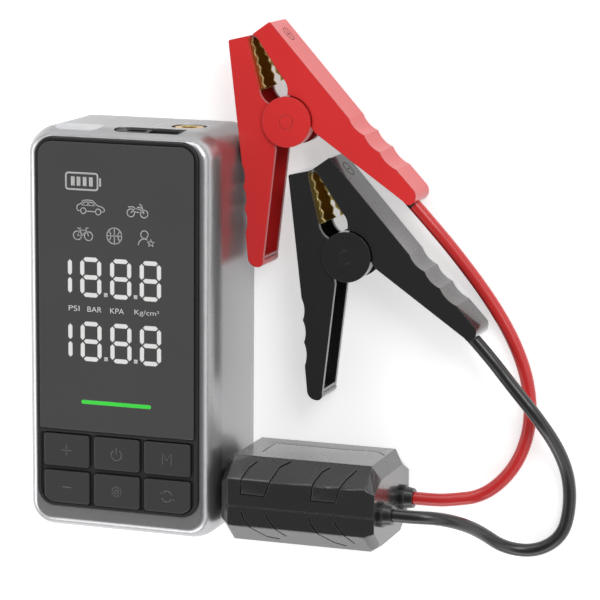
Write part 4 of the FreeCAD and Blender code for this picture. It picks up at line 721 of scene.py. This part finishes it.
def module_shell(node, name, cutters):
    """A CAD shell with rounded long edges and cut grooves."""
    host = module_blank(node, name)
    for cutter in cutters:
        cut = host.modifiers.new("grooves", "BOOLEAN")
        cut.operation = "DIFFERENCE"
        cut.solver = "EXACT"
        cut.use_self = True
        cut.material_mode = "TRANSFER"
        cut.object = cutter
    cut_piece = as_mesh(host, name + "_cut")
    shade_smooth(cut_piece.data, SHELL_SHARP)
    weighted = cut_piece.modifiers.new("flat_faces", "WEIGHTED_NORMAL")
    weighted.keep_sharp = True
    weighted.weight = LARGE_FACE_WEIGHT
    made = as_mesh(cut_piece, name)
    made.data.validate(clean_customdata=False)
    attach(made, "lead")
    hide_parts(node)
    print(name, "faces", len(made.data.polygons))


module_shell("module_upper_shell", "module_upper", upper_cutters)
module_shell("module_lower_shell", "module_lower", lower_cutters)
for cutter in upper_cutters + lower_cutters:
    bpy.data.objects.remove(cutter)

# %% [markdown]
# Each clamp's torsion spring has one leg in either handle. A spring can't be one rigid piece
# when the clamp opens, so the CAD spring is parted where its straight leg leaves the coil: that
# leg rides on the moving handle, and the coil with the other leg stays on the fixed one.

# %% Clamp springs
CLAMP_TURN = math.radians(24.5)
CLAMP_LONG = Vector((math.cos(CLAMP_TURN), math.sin(CLAMP_TURN)))
PIVOTS = {"red": (66.9, 93.5), "black": (94.9, 35.9)}
SPRING_REACH = 32
COIL_REACH = 6.5
SPRING_SHARP = 50


def leg_of(place):
    """The clamp whose moving leg holds this place, in millimetres, or None."""
    for colour, pivot in PIVOTS.items():
        away = Vector((place.x, place.y)) - Vector(pivot)
        if away.length < SPRING_REACH and away @ CLAMP_LONG < -COIL_REACH:
            return colour
    return None


def spring_piece(name, colour, body):
    """What belongs to one leg, or to the coils where colour is None, as its own closed piece."""
    bm = merged_copy("clamp_springs")
    others = [face for face in bm.faces if leg_of(face.calc_center_median() / MM) != colour]
    bmesh.ops.delete(bm, geom=others, context="FACES")
    bmesh.ops.holes_fill(bm, edges=[edge for edge in bm.edges if edge.is_boundary])
    made = add_object(name, mesh_of(bm, name, finishes["steel"]))
    shade_smooth(made.data, SPRING_SHARP)
    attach(made, body)
    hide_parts("clamp_springs")
    print(name, "faces", len(made.data.polygons))


spring_piece("spring_coils", None, "lead")
spring_piece("red_spring_leg", "red", "red_clamp_arm")
spring_piece("black_spring_leg", "black", "black_clamp_arm")

# %% [markdown]
# The window's display shows white marks from below the glass. On the real pack they light up
# through dark plastic, and here they are thin printed strips on its top. Two node trees make
# them: one for lines and one for digits. Both take their ink as a named input, and both end in
# real geometry with that ink on it, because instances would be lost when the scene is exported.

# %% Tree helpers
GEOMETRY = "NodeSocketGeometry"


def new_tree(name, inputs):
    """A geometry tree, its input node and the identifiers of its named inputs."""
    tree = bpy.data.node_groups.new(name, "GeometryNodeTree")
    tree.interface.new_socket("Geometry", in_out="INPUT", socket_type=GEOMETRY)
    keys = {}
    for label, kind in (*inputs, ("Ink", "NodeSocketMaterial")):
        socket = tree.interface.new_socket(label, in_out="INPUT", socket_type=kind)
        keys[label] = socket.identifier
    tree.interface.new_socket("Geometry", in_out="OUTPUT", socket_type=GEOMETRY)
    return tree, tree.nodes.new("NodeGroupInput"), keys


def end_in_ink(tree, start, shape):
    """Ends a tree: what it made becomes real and takes the ink."""
    real = tree.nodes.new("GeometryNodeRealizeInstances")
    paint = tree.nodes.new("GeometryNodeSetMaterial")
    end = tree.nodes.new("NodeGroupOutput")
    join(tree, (shape, real.inputs["Geometry"]),
         (real.outputs["Geometry"], paint.inputs["Geometry"]),
         (start.outputs["Ink"], paint.inputs["Material"]),
         (paint.outputs["Geometry"], end.inputs["Geometry"]))


def grown(host, name, tree, keys, values):
    """The plain mesh that a tree makes of its host, with the tree's inputs set."""
    modifier = host.modifiers.new(tree.name, "NODES")
    modifier.node_group = tree
    for label, value in values.items():
        modifier[keys[label]] = value
    return as_mesh(host, name)


print("tree helpers ready")

# %% [markdown]
# A printed line has one width all along, so its tree sweeps a flat profile along each drawn
# line. The curve's normal is kept upright, so the strip never twists out of its plane.

# %% Printed line tree
INK_THICK = 0.05

ink = finish("display_white", (0.68, 0.68, 0.67), (0.62, 0.62, 0.61), (0.72, 0.72, 0.71), 0.5,
             2000.0, 0.005, glow=0.06)
sweep, start, sweep_keys = new_tree("printed_lines", (("Width", NUMBER), ("Thickness", NUMBER)))
upright = sweep.nodes.new("GeometryNodeSetCurveNormal")
upright.mode = "Z_UP"
profile = sweep.nodes.new("GeometryNodeCurvePrimitiveQuadrilateral")
strip = sweep.nodes.new("GeometryNodeCurveToMesh")
strip.inputs["Fill Caps"].default_value = True
join(sweep, (start.outputs["Geometry"], upright.inputs["Curve"]),
     (upright.outputs["Curve"], strip.inputs["Curve"]),
     (start.outputs["Width"], profile.inputs["Width"]),
     (start.outputs["Thickness"], profile.inputs["Height"]),
     (profile.outputs["Curve"], strip.inputs["Profile Curve"]))
end_in_ink(sweep, start, strip.outputs["Mesh"])


def printed(name, lines, stroke, height, body, material):
    """Sweeps flat strips along lines, lists of (x, y) in millimetres, and rides them on a body."""
    data = bpy.data.curves.new(name, "CURVE")
    data.dimensions = "3D"
    for line in lines:
        closed = line[0] == line[-1] and len(line) > 2
        points = line[:-1] if closed else line
        spline = data.splines.new("POLY")
        spline.points.add(len(points) - 1)
        spline.use_cyclic_u = closed
        for point, (x, y) in zip(spline.points, points):
            point.co = (x * MM, y * MM, height * MM, 1.0)
    made = grown(add_object(name + "_lines", data), name, sweep, sweep_keys,
                 {"Width": stroke * MM, "Thickness": INK_THICK * MM, "Ink": material})
    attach(made, body)
    return made


print("tree", sweep.name)

# %% [markdown]
# A sign painter draws with a straight edge and a compass. Three helpers give the same: an arc, a
# ring and a box with round corners, each as a list of points in millimetres.

# %% Drawing helpers


def arc(centre, radius, first, last, steps=24):
    """Points on an arc, in degrees counted from +X."""
    turns = [math.radians(first + (last - first) * i / steps) for i in range(steps + 1)]
    return [(centre[0] + radius * math.cos(a), centre[1] + radius * math.sin(a)) for a in turns]


def ring(centre, radius):
    """A closed circle."""
    points = arc(centre, radius, 0, 360, 32)
    return points[:-1] + [points[0]]


def rounded_box(x0, y0, x1, y1, radius):
    """A closed rectangle with round corners."""
    corners = (((x1 - radius, y1 - radius), 0), ((x0 + radius, y1 - radius), 90),
               ((x0 + radius, y0 + radius), 180), ((x1 - radius, y0 + radius), 270))
    points = [p for centre, turn in corners for p in arc(centre, radius, turn, turn + 90, 6)]
    return points + [points[0]]


print("ring points", len(ring((0, 0), 1)))

# %% [markdown]
# The upper part of the window shows a battery gauge. Its case is one closed line, and its bars
# are short wide strokes, so the same tree makes all of it.

# %% Battery gauge
INK_LIFT = 54.41
CASE_STROKE, NUB_STROKE, GAUGE_STROKE = 0.75, 0.8, 1.7


def displayed(name, lines, stroke):
    """A drawing in white ink on the window."""
    printed(name, lines, stroke, INK_LIFT, "pack", ink)


gauge_bars = [[(left + GAUGE_STROKE / 2, 65.4), (left + GAUGE_STROKE / 2, 69.4)]
              for left in (-20.7, -18.0, -15.1, -12.2)]
displayed("battery_outline", [rounded_box(-23.1, 63.8, -8.2, 71.0, 1.1)], CASE_STROKE)
displayed("battery_nub", [[(-7.0, 65.6), (-7.0, 69.2)]], NUB_STROKE)
displayed("battery_bars", gauge_bars, GAUGE_STROKE)
print("gauge bars", len(gauge_bars))

# %% [markdown]
# Below the gauge stand simple pictures of what the pump can fill: a car, a motorcycle, a
# bicycle, a ball and a setting of one's own. They are drawn as a sign painter would, from
# straight lines and arcs of one stroke width.

# %% Display pictures
PICTURE_STROKE = 0.42

car = [[(-16.4, 54.5), (-17.6, 54.6), (-18.1, 55.5), (-17.7, 57.0), (-16.2, 57.6), (-15.0, 59.1),
        (-13.0, 59.4), (-10.6, 59.2), (-8.6, 57.2), (-6.2, 56.6), (-5.0, 55.6), (-5.2, 54.6),
        (-6.5, 54.4)],
       [(-13.5, 54.5), (-9.4, 54.4)],
       [(-15.6, 57.1), (-14.4, 58.4), (-12.9, 58.6), (-12.9, 57.0), (-15.6, 57.1)],
       [(-12.3, 57.0), (-12.3, 58.6), (-10.9, 58.4), (-9.7, 57.0), (-12.3, 57.0)],
       ring((-15.0, 54.6), 1.25), ring((-8.0, 54.4), 1.25)]
motorcycle = [ring((7.3, 54.9), 1.7), ring((13.5, 54.7), 1.7),
              [(7.3, 54.9), (9.0, 56.8), (11.6, 56.6), (13.5, 54.7)],
              [(6.0, 57.4), (8.2, 57.6), (9.6, 56.8), (11.2, 57.7), (12.6, 57.0)],
              [(11.4, 58.9), (12.3, 58.3), (13.5, 54.9)], [(9.2, 55.4), (11.2, 55.3)]]
bicycle = [ring((-17.8, 43.6), 1.9), ring((-12.6, 43.5), 1.9),
           [(-17.8, 43.6), (-16.8, 46.0), (-13.7, 46.0), (-15.4, 43.5), (-17.8, 43.6)],
           [(-15.4, 43.5), (-17.0, 46.7)], [(-17.9, 46.8), (-16.2, 46.8)],
           [(-12.6, 43.5), (-13.9, 46.9), (-12.7, 47.1)]]
ball = [ring((-0.45, 44.3), 3.5), [(-0.45, 47.8), (-0.45, 40.8)], [(-3.95, 44.3), (3.05, 44.3)],
        arc((-5.0, 44.3), 2.9, -48, 48, 12), arc((4.1, 44.3), 2.9, 132, 228, 12)]
star = []
for i in range(10):
    reach = 1.7 if i % 2 == 0 else 0.72
    star.append((16.6 + reach * math.sin(math.pi * i / 5),
                 42.1 + reach * math.cos(math.pi * i / 5)))
own_setting = [ring((13.6, 45.7), 1.7), arc((13.6, 41.0), 2.8, 180, 60, 12), star + [star[0]]]
for name, lines in (("car_picture", car), ("motorcycle_picture", motorcycle),
                    ("bicycle_picture", bicycle), ("ball_picture", ball),
                    ("own_setting_picture", own_setting)):
    displayed(name, lines, PICTURE_STROKE)
print("pictures drawn")

# %% [markdown]
# Two rows of digits give the wanted and the measured pressure. Every digit is made of the same
# seven bars, so one pointed bar is made here and used for all of them.

# %% Digit bar
BAR_HALF = 3.5
BAR_THICK = 0.98

shoulder = BAR_HALF - BAR_THICK
outline = ((-BAR_HALF, 0), (-shoulder, BAR_THICK), (shoulder, BAR_THICK),
           (BAR_HALF, 0), (shoulder, -BAR_THICK), (-shoulder, -BAR_THICK))
count = len(outline)
points = [(x * MM, y * MM, lift * INK_THICK / 2 * MM) for lift in (-1, 1) for x, y in outline]
sides = [(i, (i + 1) % count, (i + 1) % count + count, i + count) for i in range(count)]
faces = [tuple(range(count)), tuple(range(2 * count - 1, count - 1, -1)), *sides]
bar_mesh = bpy.data.meshes.new("segment_bar")
bar_mesh.from_pydata(points, [], faces)
bm = bmesh.new()
bm.from_mesh(bar_mesh)
bmesh.ops.recalc_face_normals(bm, faces=bm.faces)
bm.to_mesh(bar_mesh)
bm.free()
bar_piece = add_object("segment_bar", bar_mesh)
print("digit bar faces", len(bar_mesh.polygons))

# %% [markdown]
# The digit tree instances the bar on a point for each place, turned by an attribute that the
# point carries. The whole display is then one small cloud of points, where copied objects would
# be far more to keep in order.

# %% Digit tree
digits, start, digit_keys = new_tree("segment_digits", (("Bar", "NodeSocketObject"),))
shape = digits.nodes.new("GeometryNodeObjectInfo")
stamp = digits.nodes.new("GeometryNodeInstanceOnPoints")
turn = digits.nodes.new("GeometryNodeInputNamedAttribute")
turn.data_type = "FLOAT_VECTOR"
turn.inputs["Name"].default_value = "turn"
join(digits, (start.outputs["Geometry"], stamp.inputs["Points"]),
     (start.outputs["Bar"], shape.inputs["Object"]),
     (shape.outputs["Geometry"], stamp.inputs["Instance"]),
     (turn.outputs["Attribute"], stamp.inputs["Rotation"]))
end_in_ink(digits, start, stamp.outputs["Instances"])
print("tree", digits.name)

# %% [markdown]
# A digit needs three flat bars and four upright ones, and the narrow first place only two. All
# bars are lit, as in the photograph, and each row has two decimal points.

# %% Digits
DIGIT_ROWS = (25.4, -3.15)
DIGIT_COLUMNS = (-11.65, 2.45, 16.35)
ONE_X = -21.5
FLAT_RISE = 7.85
SIDE_RISE = 3.95
SIDE_REACH = 4.0
POINT_SIZE = 1.7
FLAT, UPRIGHT = 0.0, math.pi / 2

segments = []
for row in DIGIT_ROWS:
    for column in DIGIT_COLUMNS:
        segments += [(column, row + rise, FLAT) for rise in (-FLAT_RISE, 0.0, FLAT_RISE)]
        segments += [(column + side, row + rise, UPRIGHT) for side in (-SIDE_REACH, SIDE_REACH)
                     for rise in (-SIDE_RISE, SIDE_RISE)]
    segments += [(ONE_X, row + rise, UPRIGHT) for rise in (-SIDE_RISE, SIDE_RISE)]
cloud = bpy.data.meshes.new("digit_points")
cloud.from_pydata([(x * MM, y * MM, INK_LIFT * MM) for x, y, _ in segments], [], [])
attribute = cloud.attributes.new("turn", "FLOAT_VECTOR", "POINT")
attribute.data.foreach_set("vector", [c for _, _, t in segments for c in (0.0, 0.0, t)])
digit_bars = grown(add_object("digit_points", cloud), "digit_bars", digits, digit_keys,
                   {"Bar": bar_piece, "Ink": ink})
bpy.data.objects.remove(bar_piece)
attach(digit_bars, "pack")
decimal_points = [[(x - POINT_SIZE / 2, y), (x + POINT_SIZE / 2, y)] for x in (-4.6, 9.4)
                  for y in (18.0, -10.5)]
displayed("decimal_points", decimal_points, POINT_SIZE)
print("digit bars", len(segments))

# %% [markdown]
# Small letters name the pressure units between the rows. Each word is set in Blender's own font
# and fitted to the box that it fills on the display. Text is made a mesh first and placed after,
# so that the finished piece sits at the origin.

# %% Units
LETTER_THICK = 0.02
LETTER_THIN = -0.009


def displayed_word(name, text, x0, x1, y0, y1):
    """White text on the window, fitted between x0..x1 and y0..y1 in millimetres."""
    data = bpy.data.curves.new(name, "FONT")
    data.body = text
    data.extrude = LETTER_THICK
    data.offset = LETTER_THIN
    made = as_mesh(add_object(name + "_text", data), name)
    mesh = made.data
    xs = [v.co.x for v in mesh.vertices]
    ys = [v.co.y for v in mesh.vertices]
    scale_x = (x1 - x0) / (max(xs) - min(xs))
    scale_y = (y1 - y0) / (max(ys) - min(ys))
    for v in mesh.vertices:
        v.co = Vector((x0 + (v.co.x - min(xs)) * scale_x, y0 + (v.co.y - min(ys)) * scale_y,
                       INK_LIFT + v.co.z)) * MM
    mesh.materials.clear()
    mesh.materials.append(ink)
    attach(made, "pack")


UNITS = (("unit_psi", "PSI", -22.2, -17.1, 10.1, 12.4),
         ("unit_bar", "BAR", -13.3, -6.6, 10.1, 12.4),
         ("unit_kpa", "KPA", -2.5, 3.9, 10.1, 12.4),
         ("unit_kg", "Kg/cm²", 8.9, 20.4, 9.7, 12.5))
for unit in UNITS:
    displayed_word(*unit)
print("units", len(UNITS))

# %% [markdown]
# The six keys carry simple signs in grey print. They ride on their keys, so they sink with them
# when a key is pressed, and they are drawn with the same tree as the display.

# %% Key signs
KEY_TOP = 54.31
KEY_STROKE = 0.4
UPPER, LOWER = -53.05, -69.85
LEFT, MIDDLE, RIGHT = -23.9, 0.0, 23.9

key_ink = finish("key_print_grey", (0.19, 0.19, 0.19), (0.15, 0.15, 0.15),
                 (0.20, 0.20, 0.20), 0.55, 2000.0, 0.005)
plus = [[(LEFT - 2.3, UPPER), (LEFT + 2.3, UPPER)], [(LEFT, UPPER - 2.3), (LEFT, UPPER + 2.3)]]
power = [arc((MIDDLE, UPPER - 0.2), 2.4, 122, 418, 32),
         [(MIDDLE, UPPER + 0.2), (MIDDLE, UPPER + 3.0)]]
letter_m = [[(RIGHT - 2.05, UPPER - 2.5), (RIGHT - 2.05, UPPER + 2.5), (RIGHT, UPPER - 0.6),
             (RIGHT + 2.05, UPPER + 2.5), (RIGHT + 2.05, UPPER - 2.5)]]
minus = [[(LEFT - 2.2, LOWER), (LEFT + 2.2, LOWER)]]
sun = [ring((MIDDLE, LOWER), 0.8)]
sun += [[(MIDDLE + r * math.cos(a), LOWER + r * math.sin(a)) for r in (1.7, 2.5)]
        for a in (math.radians(30 * i) for i in range(12))]
refresh = [arc((RIGHT, LOWER), 2.45, 20, 160, 16), arc((RIGHT, LOWER), 2.45, 200, 340, 16),
           [(RIGHT - 3.3, LOWER + 1.7), (RIGHT - 2.3, LOWER + 0.8), (RIGHT - 1.2, LOWER + 1.8)],
           [(RIGHT + 3.3, LOWER - 1.7), (RIGHT + 2.3, LOWER - 0.8), (RIGHT + 1.2, LOWER - 1.8)]]
for name, lines, key in (("plus_sign", plus, "key_plus"), ("power_sign", power, "key_power"),
                         ("mode_letter", letter_m, "key_mode"),
                         ("minus_sign", minus, "key_minus"), ("light_sign", sun, "key_light"),
                         ("reset_sign", refresh, "key_reset")):
    printed(name, lines, KEY_STROKE, KEY_TOP, key + "_body", key_ink)
print("keys signed")

# %% [markdown]
# A thin ring near the tip of each clamp's cable side strip holds its sign: a plus on the red
# clamp and a minus on the black one. The strip stands upright and leans with the clamp, so the
# sign is drawn flat, swept by the same tree and then turned onto the strip.

# %% Clamp signs
STRIP_TIP, STRIP_FOOT = Vector((10.7, 41.8)), Vector((26.9, -9.3))
STRIP_MIDDLE = 11.4
SIGN_SHARE = 0.13
SIGN_STROKE = 0.38
SIGN_PROUD = 0.015
SIGN_RING = ring((0, 0), 3.3)
SIGN_ARM = 1.9

dark_ink = finish("clamp_sign_dark", (0.012, 0.006, 0.006), (0.008, 0.004, 0.004),
                  (0.02, 0.02, 0.02), 0.5, 2000.0, 0.003)


def clamp_sign(name, pivot, lines):
    """A drawn sign laid on the strip of the clamp whose pivot is given, in millimetres."""
    made = printed(name, lines, SIGN_STROKE, 0.0, "lead", dark_ink)
    run = (STRIP_FOOT - STRIP_TIP).normalized()
    centre = STRIP_TIP + (STRIP_FOOT - STRIP_TIP) * SIGN_SHARE
    outward = Vector((-run.y, run.x))
    turn = Matrix.Rotation(CLAMP_TURN, 2)
    along, out, centre = turn @ run, turn @ outward, turn @ centre
    place = Vector((pivot[0] + centre.x, pivot[1] + centre.y, STRIP_MIDDLE))
    place += Vector((out.x, out.y, 0)) * SIGN_PROUD
    for v in made.data.vertices:
        x, y, lift = v.co / MM
        v.co = (place + Vector((along.x, along.y, 0)) * x + Vector((0, 0, 1)) * y
                + Vector((out.x, out.y, 0)) * lift) * MM


across = [(-SIGN_ARM, 0), (SIGN_ARM, 0)]
upwards = [(0, -SIGN_ARM), (0, SIGN_ARM)]
clamp_sign("red_clamp_sign", PIVOTS["red"], [SIGN_RING, across, upwards])
clamp_sign("black_clamp_sign", PIVOTS["black"], [SIGN_RING, upwards])
print("clamps signed")
